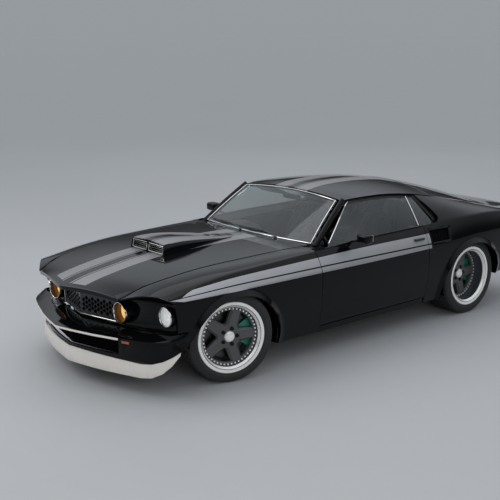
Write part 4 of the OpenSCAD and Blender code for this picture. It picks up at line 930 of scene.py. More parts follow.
@dataclass
class Flank:
    """One side of the body: fender, door and quarter panel."""

    side: Side
    low_rows: int = 30
    mid_rows: int = 26
    top_rows: int = 12
    skin: float = 10.0
    door_thick: float = 90.0
    door_low: float = 250.0
    door_bevel: float = 56.0
    scoop_deep: float = 24.0
    scoop_low: float = 713.0
    scoop_high: float = 836.0
    scoop_front: Pair = (-769.0, -753.0)
    scoop_rear: Pair = (-1012.0, -1028.0)
    pin: Pair = (640.0, 845.0)
    pin_heights: Pair = (387.0, 615.0)

    def build(self) -> None:
        """Builds the three panels, the door's hinges and the side scoop."""
        self.fender()
        self.door()
        self.quarter()
        self.scoop_plate()

    def row_count(self, top: float) -> int:
        """How many rows a panel has up to that share."""
        return self.low_rows + self.mid_rows + (self.top_rows if top > 2.0 else 0)

    def share_of(self, v: float, low: float, top: float) -> float:
        """The section share of a row, with even rows in each zone."""
        j = v * self.row_count(top)
        if j <= self.low_rows:
            return mix(low, 1.0, (j / self.low_rows) ** 1.25)
        if j <= self.low_rows + self.mid_rows:
            return 1.0 + (j - self.low_rows) / self.mid_rows
        return mix(2.0, top, (j - self.low_rows - self.mid_rows) / self.top_rows)

    @staticmethod
    def low_share(x: float, arch: Arch) -> float:
        """The share of the panel's lower edge, at the hem or at the arch."""
        return max(0.0, LINES.share_at(x, arch.edge(x)))

    def panel(self, arch: Arch, counts: tuple[int, int, int], front: Callable[[float], float], back: float,
              top: float, thick: float, pocket: Callable[[float, float], float] | None = None) -> Shape:
        """A side panel with an arch in its lower edge.

        Args:
            arch: The arch.
            counts: Columns ahead of, over and behind the arch.
            front: The panel's front edge by section share.
            back: Its rear edge.
            top: The section share of its upper edge.
            thick: Its thickness.
            pocket: Depth of a recess at a place, or None.

        Returns:
            The shape on the left side.
        """
        total = sum(counts)
        a, b = counts[0] / total, (counts[0] + counts[1]) / total

        def place(u: float, v: float) -> Pair:
            """X and section share of a grid point."""
            rough = self.share_of(v, 0.0, top)
            if u < a:
                x = mix(front(rough), arch.x + arch.r, u / a)
            elif u <= b:
                x = arch.x + arch.r * math.cos(math.pi * (u - a) / (b - a))
            else:
                x = mix(arch.x - arch.r, back, (u - b) / (1.0 - b))
            return x, self.share_of(v, self.low_share(x, arch), top)

        def outer(u: float, v: float) -> Vector:
            """The painted side."""
            x, s = place(u, v)
            p = LINES.side(x, s)
            p.y += arch.out(p.x, p.z) - (pocket(p.x, p.z) if pocket else 0.0)
            return p

        def inner(u: float, v: float) -> Vector:
            """The inner side."""
            x, s = place(u, v)
            return LINES.side(x, s) + LINES.inward(s, thick)

        return Shape().skin(total, self.row_count(top), outer, inner, 2.5, lambda u, v: place(u, v)[1])

    def fender(self) -> None:
        """The front fender, from the nose to the door."""
        def nose(s: float) -> float:
            """The fender's front edge."""
            back = mix(482, 430, s) if s <= 1 else mix(430, 350, s - 1) if s <= 2 else mix(350, 188, s - 2)
            return LINES.x_front - back

        shape = self.panel(LINES.front_arch, (10, 56, 20), nose, LINES.door_x0 + LINES.gap / 2, 2.97, self.skin)
        shape.on(self.side, "fender_skin_{}", "body", Finishes.black_flank, "body_paint", ["fender_{}"])

    def scoop_pocket(self, x: float, z: float) -> float:
        """Depth of the side scoop's recess in the quarter panel."""
        height = (z - self.scoop_low) / (self.scoop_high - self.scoop_low)
        front, rear = mix(*self.scoop_front, height), mix(*self.scoop_rear, height)
        along = (front - x) / (front - rear)
        if not (0.0 < along < 1.0 and 0.0 < height < 1.0):
            return 0.0
        return (self.scoop_deep * smooth(along / 0.05) * smooth((1.0 - along) / 0.12)
                * smooth(height / 0.09) * smooth((1.0 - height) / 0.09))

    def quarter(self) -> None:
        """The rear quarter: below the belt with its arch, above it round the window."""
        back = LINES.x_end + 25.0
        lower = self.panel(LINES.rear_arch, (34, 52, 26), lambda s: LINES.door_x1 - LINES.gap / 2, back, 2.0,
                           30.0, self.scoop_pocket)

        def window(v: float) -> Pair:
            """Section share and front edge of a row above the belt."""
            s = mix(2.0, 2.97, v)
            return s, LINES.quarter_edge(s - 2.0) - 5.0

        def outer(u: float, v: float) -> Vector:
            """The painted side of the sail panel."""
            s, edge = window(v)
            return LINES.side(mix(edge, back, u), s)

        def inner(u: float, v: float) -> Vector:
            """Its inner side."""
            s, edge = window(v)
            x = mix(edge, back, u)
            return LINES.side(x, s) + LINES.inward(s, 30.0)

        lower.skin(60, 30, outer, inner, 0.0, lambda u, v: window(v)[0])
        lower.on(self.side, "quarter_skin_{}", "body", Finishes.black_flank, "body_paint", ["quarter_{}"])

    def scoop_plate(self) -> None:
        """The dark plate in the side scoop's recess, with upright vanes and a rounded rim; the plate and vanes
        are painted shade for the shaded inside of the scoop.
        """
        def at(u: float, v: float, deep: float) -> Vector:
            """A point below the painted side."""
            height = mix(0.035, 0.965, v)
            x = mix(mix(*self.scoop_front, height), mix(*self.scoop_rear, height), mix(0.02, 0.975, u))
            foot, top = LINES.track(LINES.side_rows, x, 2), LINES.track(LINES.side_rows, x, 4)
            s = 1.0 + (mix(self.scoop_low, self.scoop_high, height) - foot) / (top - foot)
            return LINES.side(x, s) - ACROSS * deep

        # Painted shade: a dark plate with vanes for the shade inside the scoop.
        plate = Shape().skin(12, 8, lambda u, v: at(u, v, 14.0), lambda u, v: at(u, v, 17.0))
        for k in range(1, 7):
            plate.sweep([at(k / 7, v / 6, 12.5) for v in range(7)], 4.0, 5.0, ACROSS, 6)
        plate.on(self.side, "side_scoop_{}", "body", Finishes.recess, "trim_black")
        corners = ((0.90, 0.88, 0.0), (0.05, 0.88, 90.0), (0.05, 0.12, 180.0), (0.90, 0.12, 270.0))
        path = [at(a + 0.055 * math.cos(math.radians(t + k)), b + 0.10 * math.sin(math.radians(t + k)), 4.0)
                for a, b, t in corners for k in (0.0, 18.0, 36.0, 54.0, 72.0, 90.0)]
        rim = Shape().sweep(path, 13.0, 12.0, ACROSS, 10, True)
        rim.on(self.side, "side_scoop_rim_{}", "body", Finishes.black, "body_paint")

    def door(self) -> None:
        """The door's skin and inner side in one shell, with its two hinge arms."""
        x0, x1 = LINES.door_x0 - LINES.gap / 2, LINES.door_x1 + LINES.gap / 2
        low, mid = 22, 22

        def place(u: float, v: float) -> Pair:
            """X and section share of a grid point."""
            x, j = mix(x0, x1, u), v * (low + mid)
            if j <= low:
                return x, mix(LINES.share_at(x, self.door_low), 1.0, j / low)
            return x, 1.0 + (j - low) / mid

        def inner(u: float, v: float) -> Vector:
            """The door's inner side, which is shorter at the hinges."""
            x, s = place(u, v)
            p = LINES.side(x, s) + LINES.inward(s, self.door_thick)
            return Vector((mix(x - self.door_bevel, x, u), p.y, p.z))

        shape = Shape().skin(48, low + mid, lambda u, v: LINES.side(*place(u, v)), inner, 3.0,
                             lambda u, v: place(u, v)[1])
        shape.on(self.side, "door_skin_{}", "door_{}", Finishes.black_flank, "body_paint", ["door_{}"])
        arms = Shape()
        for z in self.pin_heights:
            where = Matrix.Translation((*self.pin, z)) @ Matrix.Diagonal((-1.0, 1.0, 1.0, 1.0))
            Hinge(83.0, 73.0, -42.0, 44.0).build(arms, where)
        arms.on(self.side, "door_hinges_{}", "door_{}", Finishes.structure, "structure")


@dataclass
class Hinge:
    """The moving half of a swan-neck hinge, in its own plane with the pin at the origin."""

    reach: float
    deep: float
    rise: float
    wide: float
    bore: float = 8.1
    barrel: float = 14.0

    def build(self, shape: Shape, where: Matrix) -> Shape:
        """Adds the arm and its barrel to a shape.

        Args:
            shape: The shape to add to.
            where: The pin's place.

        Returns:
            The shape.
        """
        r, d, h = self.reach, self.deep, self.rise
        outline = [(-6, 6), (-8, -8), (16, -d - 12), (r * 0.98, -d - 24), (r + 85, h - 2), (r + 85, h + 8),
                   (r + 40, h + 8), (r * 0.9, -d), (30, -d + 10), (9, 4)]
        half = self.wide / 2
        shape.prism(outline, -half, half, where, 1.5)
        return shape.lathe([(self.bore, -half - 0.5), (self.barrel, -half - 0.5), (self.barrel, half + 0.5),
                            (self.bore, half + 0.5)], 32, where)


@dataclass
class Top:
    """Hood, roof, cowl, deck and tail: the panels that cross the car."""

    hood_pin: Point = (530.0, 592.0, 815.6)
    trunk_pin: Point = (-1873.0, 520.0, 834.1)
    vents: int = 9

    def build(self) -> None:
        """Builds the panels in order from front to rear."""
        self.hood()
        self.cowl()
        self.roof()
        self.deck()
        self.tail()

    @staticmethod
    def sheet(rows: Rows, front: Callable[[float], float], back: float, edge: Callable[[float, float], float],
              inner: Callable[[float, float], Vector] | None, thick: float, counts: tuple[int, int],
              rim: float) -> Shape:
        """A crowned panel across the car.

        Args:
            rows: Its table.
            front: Its front edge by share q.
            back: Its rear edge.
            edge: The share of the half width that it keeps, by x and q.
            inner: The inner side by shares, or None for a plain drop.
            thick: The drop of its inner side.
            counts: Cells along and across.
            rim: Width of the rounding on its rim.

        Returns:
            The shape.
        """
        def outer(u: float, v: float) -> Vector:
            """The painted side."""
            q = 1.0 - 2.0 * v
            x = mix(front(q), back, u)
            return LINES.crown(rows, x, edge(x, q))

        def drop(u: float, v: float) -> Vector:
            """The inner side."""
            return inner(u, v) if inner else outer(u, v) - UP * thick

        return Shape().skin(*counts, outer, drop, rim)

    def hood(self) -> None:
        """The hood with its striped skin, and its hinge arms."""
        rows, back = LINES.hood_rows, LINES.hood_back + LINES.gap / 2
        edge = partial(LINES.parted, rows)

        def inner(u: float, v: float) -> Vector:
            """The hood's inner side, set back at the rear."""
            q = 1.0 - 2.0 * v
            x = mix(LINES.hood_nose(q) - 4.0, back + 26.0, u)
            return LINES.crown(rows, x, edge(x, q * 0.99)) - UP * LINES.lid

        self.sheet(rows, LINES.hood_nose, back, edge, inner, 0.0, (72, 56), 4.0).publish(
            "hood_skin", "hood", Finishes.black_top, "body_paint", ["hood"])
        where = Matrix.Translation(self.hood_pin) @ Matrix.Rotation(math.pi / 2, 4, "X")
        arms = Hinge(93.0, 72.0, 7.0, 16.0).build(Shape(), where)
        arms.mirrored().publish("hood_hinges", "hood", Finishes.structure, "structure")

    def cowl(self) -> None:
        """The cowl under the windscreen."""
        def outer(u: float, v: float) -> Vector:
            """The painted side, up to the screen's lower edge."""
            q = 1.0 - 2.0 * v
            x = mix(LINES.hood_back - LINES.gap / 2, LINES.screen(q * 0.95, 0.0).x + 9.0, u)
            return LINES.crown(LINES.hood_rows, x, q * 0.99)

        shape = Shape().skin(10, 48, outer, lambda u, v: outer(u, v) - UP * 12.0, 2.0)
        for k in range(-self.vents, self.vents + 1):
            if abs(k) > 1:
                p = LINES.crown(LINES.hood_rows, 578.0, k / 11.5)
                shape.box((p.x - 16.0, p.y - 14.0, p.z - 3.0), (p.x + 16.0, p.y + 14.0, p.z + 1.6), 1.5)
        shape.publish("cowl_skin", "body", Finishes.black, "body_paint", ["cowl"])

    def roof(self) -> None:
        """The roof skin with its stripes, and the screen pillars."""
        rows = LINES.roof_rows

        def front(q: float) -> float:
            """The roof's front edge."""
            return LINES.xf - 1360.0 - 6.0 * q * q

        def inner(u: float, v: float) -> Vector:
            """The roof's inner side, thinner at the rails."""
            q = 1.0 - 2.0 * v
            x = mix(front(q), LINES.roof_back, u)
            drop = LINES.lid * mix(1.0, LINES.rail_share, abs(q) ** 8)
            return LINES.crown(rows, x, q * 0.985) - UP * drop

        shape = self.sheet(rows, front, LINES.roof_back, lambda x, q: q, inner, 0.0, (56, 56), 4.0)
        foot = Vector((LINES.xf - 965.0, LINES.half - 201.0, LINES.belt - 26.0))
        head = Vector((LINES.xf - 1372.0, LINES.half - 301.0, LINES.track(rows, LINES.xf - 1372.0, 2) - 2.0))
        path = [foot.lerp(head, i / 10) + Vector((3.0, 2.0, 5.0)) * math.sin(math.pi * i / 10)
                for i in range(11)]
        pillars = Shape().sweep(path, 42.0, 58.0, Vector((0.6, 0.35, 0.8)), 12)
        pillars.mirrored().publish("screen_pillars", "body", Finishes.black, "body_paint")
        shape.publish("roof_skin", "body", Finishes.black_top, "body_paint", ["roof"])

    def deck(self) -> None:
        """The strip under the rear glass and the trunk lid with its hinge arms."""
        rows = LINES.roof_rows
        strip = self.sheet(rows, lambda q: LINES.strip_x, LINES.deck_front + LINES.gap / 2,
                           lambda x, q: q * 0.985, None, 12.0, (8, 48), 2.0)
        strip.publish("deck_strip_skin", "body", Finishes.black, "body_paint", ["deck_strip"])
        x0 = LINES.deck_front - LINES.gap / 2 - 1.0
        edge = partial(LINES.parted, rows)

        def inner(u: float, v: float) -> Vector:
            """The lid's inner side, set back at the front."""
            q = 1.0 - 2.0 * v
            x = mix(x0 - 30.0, LINES.x_end + 4.0, u)
            return LINES.crown(rows, x, edge(x, q) * 0.985) - UP * LINES.lid

        lid = self.sheet(rows, lambda q: x0, LINES.x_end, edge, inner, 0.0, (28, 48), 4.0)
        lid.publish("trunk_lid_skin", "trunk_lid", Finishes.black, "body_paint", ["trunk_lid"])
        where = (Matrix.Translation(self.trunk_pin) @ Matrix.Diagonal((-1.0, 1.0, 1.0, 1.0))
                 @ Matrix.Rotation(math.pi / 2, 4, "X"))
        arms = Hinge(118.0, 94.0, 2.0, 16.0).build(Shape(), where)
        arms.mirrored().publish("trunk_hinges", "trunk_lid", Finishes.structure, "structure")

    def tail(self) -> None:
        """The tail panel with rounded edges."""
        shape = Shape.of_node("tail_panel").round_sharp(3.0, 30.0)
        shape.publish("tail_skin", "body", Finishes.black, "body_paint", ["tail_panel"])


@dataclass
class HoodScoop:
    """The scoop on the hood: a hollow shell with two slatted mouths."""

    front: float = 1570.0
    high: float = 80.0
    foot: float = 0.9
    wall: float = 7.0
    slats: Sequence[float] = (24.0, 40.0, 55.0)
    rows: Rows = ((0, 214, 1.0), (60, 212, 1.04), (190, 202, 0.975), (340, 184, 0.76), (520, 152, 0.42),
                  (660, 122, 0.15), (760, 104, 0.06))
    lines: Rows = ((0.0, 1.0, 0.0), (0.13, 1.0, 0.62), (0.24, 0.9, 1.0), (0.37, 0.5, 1.06), (0.5, 0.0, 1.08),
                   (0.63, -0.5, 1.06), (0.76, -0.9, 1.0), (0.87, -1.0, 0.62), (1.0, -1.0, 0.0))

    def cross(self, v: float) -> Pair:
        """Shares of the half width and the height across the scoop."""
        for a, b in zip(self.lines, self.lines[1:]):
            if v <= b[0]:
                t = (v - a[0]) / (b[0] - a[0])
                return mix(a[1], b[1], t), mix(a[2], b[2], t)
        return self.lines[-1][1], self.lines[-1][2]

    def at(self, u: float, v: float, inside: float = 0.0) -> Vector:
        """A point on the scoop, set in by a wall."""
        rows = [(-r[0], r[1], r[2]) for r in self.rows]
        back = -self.rows[-1][0] * u
        half, tall = LINES.track(rows, back, 1), self.high * max(0.05, LINES.track(rows, back, 2))
        y, z = self.cross(v)
        x = self.front + back - 16.0 * z * (1.0 - smooth(u * 6.0))
        rise = max(0.0, tall * z - inside * (1.0 if z > 0.05 else 0.0))
        return Vector((x, y * (half - inside), LINES.hood_z(x, y * half) + self.foot + rise))

    def build(self) -> None:
        """The shell, the dark mouth, its bright frames and slats; the mouth's back wall and divider are painted
        shade for the scoop's inside.
        """
        shape = Shape().skin(44, 64, self.at, lambda u, v: self.at(u, v, self.wall), 1.5,
                             lambda u, v: 1.0 if abs(v - 0.5) < 0.29 else 0.0)
        shape.publish("scoop_shell", "hood", Finishes.black_scoop, "body_paint", ["hood_scoop"], 24.0)
        floor = LINES.hood_z(self.front, 100.0) + self.foot
        mouth, frames, slats = Shape(), Shape(), Shape()
        # Painted shade: a dark back wall and divider for the shade inside the mouths.
        mouth.box((self.front - 130.0, -196.0, floor + 2.0),
                  (self.front - 122.0, 196.0, floor + self.high - 10.0), 1.0)
        mouth.box((self.front - 120.0, -9.0, floor), (self.front - 14.0, 9.0, floor + self.high - 9.0), 2.0)
        for sign in (1.0, -1.0):
            path = [Vector((self.front - 6.0 - 0.16 * z, sign * y, floor + z))
                    for y, z in around(((14.0, 9.0), (196.0, 9.0), (192.0, 64.0), (14.0, 68.0)), (6,) * 4)]
            frames.sweep(path, 7.0, 7.0, Vector((1.0, 0.0, 0.2)), 8, True)
            for z in self.slats:
                slats.box((self.front - 44.0, sign * 105.0 - 88.0, floor + z - 1.5),
                          (self.front - 10.0, sign * 105.0 + 88.0, floor + z + 1.5), 1.0)
        mouth.publish("scoop_mouth", "hood", Finishes.recess, "trim_black")
        frames.publish("scoop_frames", "hood", Finishes.chrome, "chin_aluminium")
        slats.publish("scoop_slats", "hood", Finishes.chrome, "chin_aluminium")


# ---- glass


@dataclass
class Glazing:
    """Windscreen, rear glass and side glass with their trim and wipers."""

    thick: float = 5.0
    share: float = 0.9903
    rear_share: float = 0.955
    wiper_rows: Rows = ((-90.0, -400.0), (330.0, -390.0))

    def build(self) -> None:
        """Builds every window and its trim."""
        self.windscreen()
        self.rear()
        for side in Side:
            self.sides(side)
        self.wipers()

    def windscreen(self) -> None:
        """The windscreen and the bright moulding round it."""
        def outer(u: float, v: float) -> Vector:
            """The outer side."""
            return LINES.screen(mix(self.share, -self.share, v), mix(0.01, 0.985, u))

        drop = self.thick * Vector((-0.6, 0.0, -0.8))
        shape = Shape().skin(20, 40, outer, lambda u, v: outer(u, v) + drop)
        shape.publish("windscreen_glass", "body", Finishes.glass, "glass", ["windscreen"])
        corners = ((0.97, 0.012), (-0.97, 0.012), (-0.97, 0.975), (0.97, 0.975))
        path = [LINES.screen(q, u) + Vector((3.0, 0.0, 4.0)) for q, u in around(corners, (24, 12, 24, 12))]
        trim = Shape().sweep(path, 8.0, 6.0, Vector((0.6, 0.0, 0.8)), 8, True)
        trim.publish("windscreen_moulding", "body", Finishes.chrome, "trim_black")

    def rear(self) -> None:
        """The rear glass and its black border."""
        rows = LINES.roof_rows
        x0, x1 = LINES.roof_back - 0.6, LINES.strip_x + 0.6

        def outer(u: float, v: float, drop: float = 3.0) -> Vector:
            """The outer side, or one below it."""
            return LINES.crown(rows, mix(x0, x1, u), mix(self.rear_share, -self.rear_share, v)) - UP * drop

        shape = Shape().skin(36, 40, outer, lambda u, v: outer(u, v, 3.0 + self.thick))
        shape.publish("rear_window_glass", "body", Finishes.glass, "glass", ["rear_glass"])
        path = [LINES.crown(rows, mix(x0 - 6, x1 + 6, i / 24), 0.945) for i in range(25)]
        path += [LINES.crown(rows, x1 + 8, mix(0.945, -0.945, i / 20)) for i in range(1, 20)]
        path += [LINES.crown(rows, mix(x1 + 6, x0 - 6, i / 24), -0.945) for i in range(25)]
        path += [LINES.crown(rows, x0 - 8, mix(-0.945, 0.945, i / 20)) for i in range(1, 20)]
        trim = Shape().sweep([p - UP for p in path], 16.0, 5.0, UP, 8, True)
        trim.publish("rear_window_moulding", "body", Finishes.seal, "trim_black")

    def pane(self, front: Callable[[float], float], back: Callable[[float], float], low: float, high: float,
             out: float, thick: float, counts: tuple[int, int]) -> Shape:
        """Part of the side glass's surface as a thin shell.

        Args:
            front: Its front edge by height share.
            back: Its rear edge by height share.
            low: Height share of its lower edge.
            high: Height share of its upper edge.
            out: How far it lies outside the glass's outer side.
            thick: Its thickness.
            counts: Cells along and up.

        Returns:
            The shape on the left side.
        """
        def outer(u: float, v: float) -> Vector:
            """The outer side."""
            t = mix(low, high, v)
            return LINES.glass(mix(front(t), back(t), u), t) + ACROSS * out

        return Shape().skin(*counts, outer, lambda u, v: outer(u, v) - ACROSS * thick)

    def sides(self, side: Side) -> None:
        """Door glass, quarter glass, divider and seals of one side."""
        chrome, seal = (Finishes.chrome, "trim_black"), (Finishes.seal, "trim_black")

        def door_front(t: float) -> float:
            """The door glass's sloping front edge."""
            return mix(LINES.xf - 1016.0, LINES.xf - 1432.0, t)

        def door_back(t: float) -> float:
            """The door glass's rear edge."""
            return LINES.divider(t) + 6.0

        door = self.pane(door_front, door_back, 0.0, 1.0, 0.0, self.thick, (30, 16))
        door.on(side, "door_window_{}", "door_{}", Finishes.glass, "glass", ["door_glass_{}"])
        path = [LINES.glass(door_front(t / 16), t / 16) + Vector((2.0, 1.0, 1.0)) for t in range(2, 17)]
        Shape().sweep(path, 8.0, 9.0, ACROSS).on(side, "door_window_edge_{}", "door_{}", *chrome)
        # A black band along the glass's top edge: the rubber seal, and painted shade of the gap under the roof.
        top = self.pane(door_front, door_back, 0.945, 1.0, 1.6, 1.4, (30, 3))
        top.on(side, "door_window_seal_{}", "door_{}", *seal)
        path = [LINES.glass(LINES.divider(t / 12) - 5.0, t / 12) + ACROSS * 3.0 for t in range(1, 13)]
        Shape().sweep(path, 13.0, 9.0, ACROSS).on(side, "quarter_divider_{}", "body", *chrome)
        if side is Side.LEFT:
            pane = self.pane(lambda t: LINES.divider(t) - 8.0, lambda t: LINES.quarter_edge(t) + 26.0 * t,
                             0.0, 1.0, 0.0, self.thick, (18, 24))
            pane.mirrored().publish("quarter_windows", "body", Finishes.glass, "glass", ["quarter_glass"])
        rear = [LINES.glass(LINES.quarter_edge(t / 20) + 9.0, t / 20) + ACROSS * 3.0 for t in range(3, 21)]
        upper = [LINES.glass(mix(LINES.divider(1.0), LINES.quarter_edge(1.0), i / 8), 0.985) + ACROSS * 2.0
                 for i in range(9)]
        frame_seal = Shape().sweep(rear, 30.0, 10.0, ACROSS).sweep(upper, 14.0, 8.0, ACROSS)
        frame_seal.on(side, "quarter_seal_{}", "body", *seal)
        path = [LINES.belt_point(mix(440.0, LINES.door_x1 + 8.0, i / 24)) + Vector((0.0, -14.0, -2.0))
                for i in range(25)]
        Shape().sweep(path, 10.0, 9.0, UP).on(side, "belt_seal_{}", "door_{}", *seal)

    def wipers(self) -> None:
        """Two arms with their blades at rest on the screen's lower edge."""
        shape = Shape()
        for y0, reach in self.wiper_rows:
            q0 = y0 / LINES.screen_half
            pivot = LINES.crown(LINES.hood_rows, LINES.screen(q0, 0.0).x + 34.0, y0 / 650.0)
            tip = LINES.screen((y0 + reach) / LINES.screen_half, 0.075) + Vector((10.0, 0.0, 14.0))
            shape.lathe([(0.0, 0.0), (13.0, 0.0), (12.0, 12.0), (8.0, 18.0), (0.0, 19.0)], 20,
                        Matrix.Translation(pivot - UP), False)
            hand = pivot + UP * 15.0
            arm = [hand.lerp(tip, i / 8) + UP * (16.0 * math.sin(math.pi * i / 8)) for i in range(9)]
            shape.sweep(arm, 9.0, 4.0, UP, 8)
            blade = []
            for i in range(13):
                y = y0 + reach + mix(230.0, -170.0, i / 12)
                blade.append(LINES.screen(max(-0.9, y / LINES.screen_half), 0.07) + Vector((5.0, 0.0, 7.0)))
            shape.sweep(blade, 7.0, 9.0, Vector((0.6, 0.0, 0.8)), 8)
        shape.publish("wipers", "body", Finishes.trim, "trim_black")


# ---- nose and tail

FORWARD = Matrix.Rotation(math.pi / 2, 4, "Y")


@dataclass
class Nose:
    """Grille, lamps, bumper, valance and chin spoiler."""

    grille_front: float = 2166.0
    grille_slope: float = 0.231
    grille_half: float = 357.0
    grille_heights: Pair = (477.0, 639.0)
    panel_front: float = 2083.0
    panel_start: float = 372.0
    panel_bend: float = 470.0
    panel_slopes: Pair = (0.153, 0.362)
    filler_half: float = 834.0
    hood_half: float = 545.0
    inlet_half: float = 464.0
    inlet_front: float = 2243.0
    inlet_slope: float = 0.2485
    inlet_heights: Pair = (272.0, 404.0)
    headlamp: Point = (1904.0, 772.0, 577.0)
    amber: Point = (2053.0, 443.0, 566.0)
    signal: Point = (2135.0, 530.0, 381.0)
    lamp_steps: int = 64

    def build(self) -> None:
        """Builds the nose from the panel outwards."""
        self.panels()
        self.header()
        self.grille()
        self.headlamps()
        self.ambers()

    def panels(self) -> None:
        """Panel, bumper, valance and chin, from the solids with rounded edges, and a bright painted highlight
        along the bumper's upper edge.
        """
        for node, rim, finish, slot in (("front_panel", 2.0, Finishes.black, "body_paint"),
                                        ("front_bumper", 2.5, Finishes.black, "body_paint"),
                                        ("front_valance", 2.0, Finishes.black, "body_paint"),
                                        ("chin_spoiler", 1.2, Finishes.raw, "chin_aluminium")):
            Shape.of_node(node).round_sharp(rim, 40.0).publish(f"{node}_dressed", "body", finish, slot, [node])
        # Painted highlight: a bright aluminium film on the bumper's forward-facing upper faces, where the light
        # catches them.
        edge = Shape.of_node("front_bumper", 0.1)
        edge.bm.normal_update()
        away = [f for f in edge.bm.faces
                if f.normal.x < 0.25 or abs(f.normal.z) > 0.5 or f.calc_center_median().z < 405.0
                or abs(f.calc_center_median().y) > 600.0]
        bmesh.ops.delete(edge.bm, geom=away, context="FACES")
        bmesh.ops.solidify(edge.bm, geom=edge.bm.faces[:], thickness=-2.2)
        edge.built = True
        edge.publish("bumper_edge", "body", Finishes.raw, "chin_aluminium")

    def panel_x(self, off: float) -> float:
        """The front of the grille or of the panel beside it, by distance from the middle."""
        if off < self.panel_start:
            return self.grille_front - self.grille_slope * off
        near, far = self.panel_slopes
        return (self.panel_front - near * (min(off, self.panel_bend) - self.panel_start)
                - far * max(0.0, off - self.panel_bend))

    def header(self) -> None:
        """The dark filler from the grille's top to the hood's lip, and the backing of both openings: painted
        shade, dark sheets for the shaded insides seen through the gaps, the grille and the intake.
        """
        def at(u: float, v: float) -> Vector:
            """A point of the filler."""
            y = mix(self.filler_half, -self.filler_half, v)
            off = abs(y)
            low = Vector((self.panel_x(off) - 6.0, y, mix(645.0, 671.0, smooth((off - 350.0) / 30.0))))
            if off > 548.0:
                high = Vector((2186.0 - 0.751 * (off - self.hood_half), y,
                               731.0 - 30.0 * ((off - 715.0) / 141.0) ** 2))
                return low.lerp(high, u)
            x = LINES.hood_nose(off / self.hood_half) - 26.0
            high = Vector((x, y, LINES.hood_z(x, y) - LINES.lid - 10.0))
            return low.lerp(high, u)

        shape = Shape().skin(6, 84, at, lambda u, v: at(u, v) + Vector((-6.0, 0.0, 2.0)))
        shape.box((2060.0, -338.0, 486.0), (2064.0, 338.0, 636.0))

        def inlet(u: float, v: float) -> Vector:
            """A point of the dark wall just behind the intake, painted shade for its inside."""
            y = mix(self.inlet_half, -self.inlet_half, u)
            return Vector((self.inlet_front - self.inlet_slope * abs(y), y, mix(*self.inlet_heights, v)))

        shape.skin(24, 4, inlet, lambda u, v: inlet(u, v) - AHEAD * 4.0)
        for k in range(7):
            shape.sweep([inlet(i / 24, 0.1 + 0.13 * k) + AHEAD * 3.0 for i in range(25)], 4.0, 3.0, UP, 4)
        shape.publish("nose_painted_shade", "body", Finishes.recess, "trim_black")

    def grille(self) -> None:
        """The bright outline of the grille; the mesh itself is the solid."""
        (low, high), half = self.grille_heights, self.grille_half
        points = [(y, high) for y in (half - 10, half / 2, 0.0, -half / 2, 10 - half)]
        points += [(-half, high - 12), (-half - 4, (low + high) / 2), (10 - half, low)]
        points += [(y, low) for y in (-half / 2, 0.0, half / 2, half - 10)]
        points += [(half + 4, (low + high) / 2), (half, high - 12)]
        path = [Vector((self.grille_front - self.grille_slope * abs(y) + 2.0, y, z)) for y, z in points]
        shape = Shape().sweep(path, 6.0, 8.0, AHEAD, 8, True)
        shape.publish("grille_outline", "body", Finishes.chrome, "chin_aluminium")

    def dome(self, r: float, rim: float, rise: float, thick: float) -> list[Pair]:
        """The section of a lens: a shallow dome with an inner side."""
        shares = [i / 8 for i in range(9)]
        outer = [(r * t, rim + rise * (1.0 - t * t)) for t in shares]
        return outer + [(a, b - thick) for a, b in reversed(outer)]

    def headlamps(self) -> None:
        """Clear outer lamps: sleeve, ring, bowl with its bulb, and lens."""
        where, steps = Matrix.Translation(self.headlamp) @ FORWARD, self.lamp_steps
        sleeve = Shape().lathe([(65, 0), (73, 0), (73, 61), (65, 61)], steps, where)
        ring = Shape().lathe([(65, 60), (72.5, 60), (72.5, 64), (71, 67.5), (68, 67.5), (65, 63)], steps, where)
        curve = [(12 + 52 * t, 14 + 40 * t * t) for t in (0.0, 0.2, 0.4, 0.6, 0.8, 1.0)]
        bowl = Shape().lathe(curve + [(a, b - 3) for a, b in reversed(curve)], steps, where)
        bowl.lathe([(0, 46), (6, 44), (9, 38), (9, 12), (0, 10)], 24, where, False)
        lens = Shape().lathe(self.dome(64.5, 57.0, 12.0, 4.0), steps, where, False)
        sleeve.mirrored().publish("headlamp_sleeves", "body", Finishes.black, "lamp_clear")
        ring.mirrored().publish("headlamp_rings", "body", Finishes.chrome, "lamp_clear")
        # The bowls' glow is painted light.
        bowl.mirrored().publish("headlamp_bowls", "body", Finishes.reflector, "lamp_clear")
        lens.mirrored().publish("headlamp_lenses", "body", Finishes.lens, "lamp_clear", ["headlamps"])

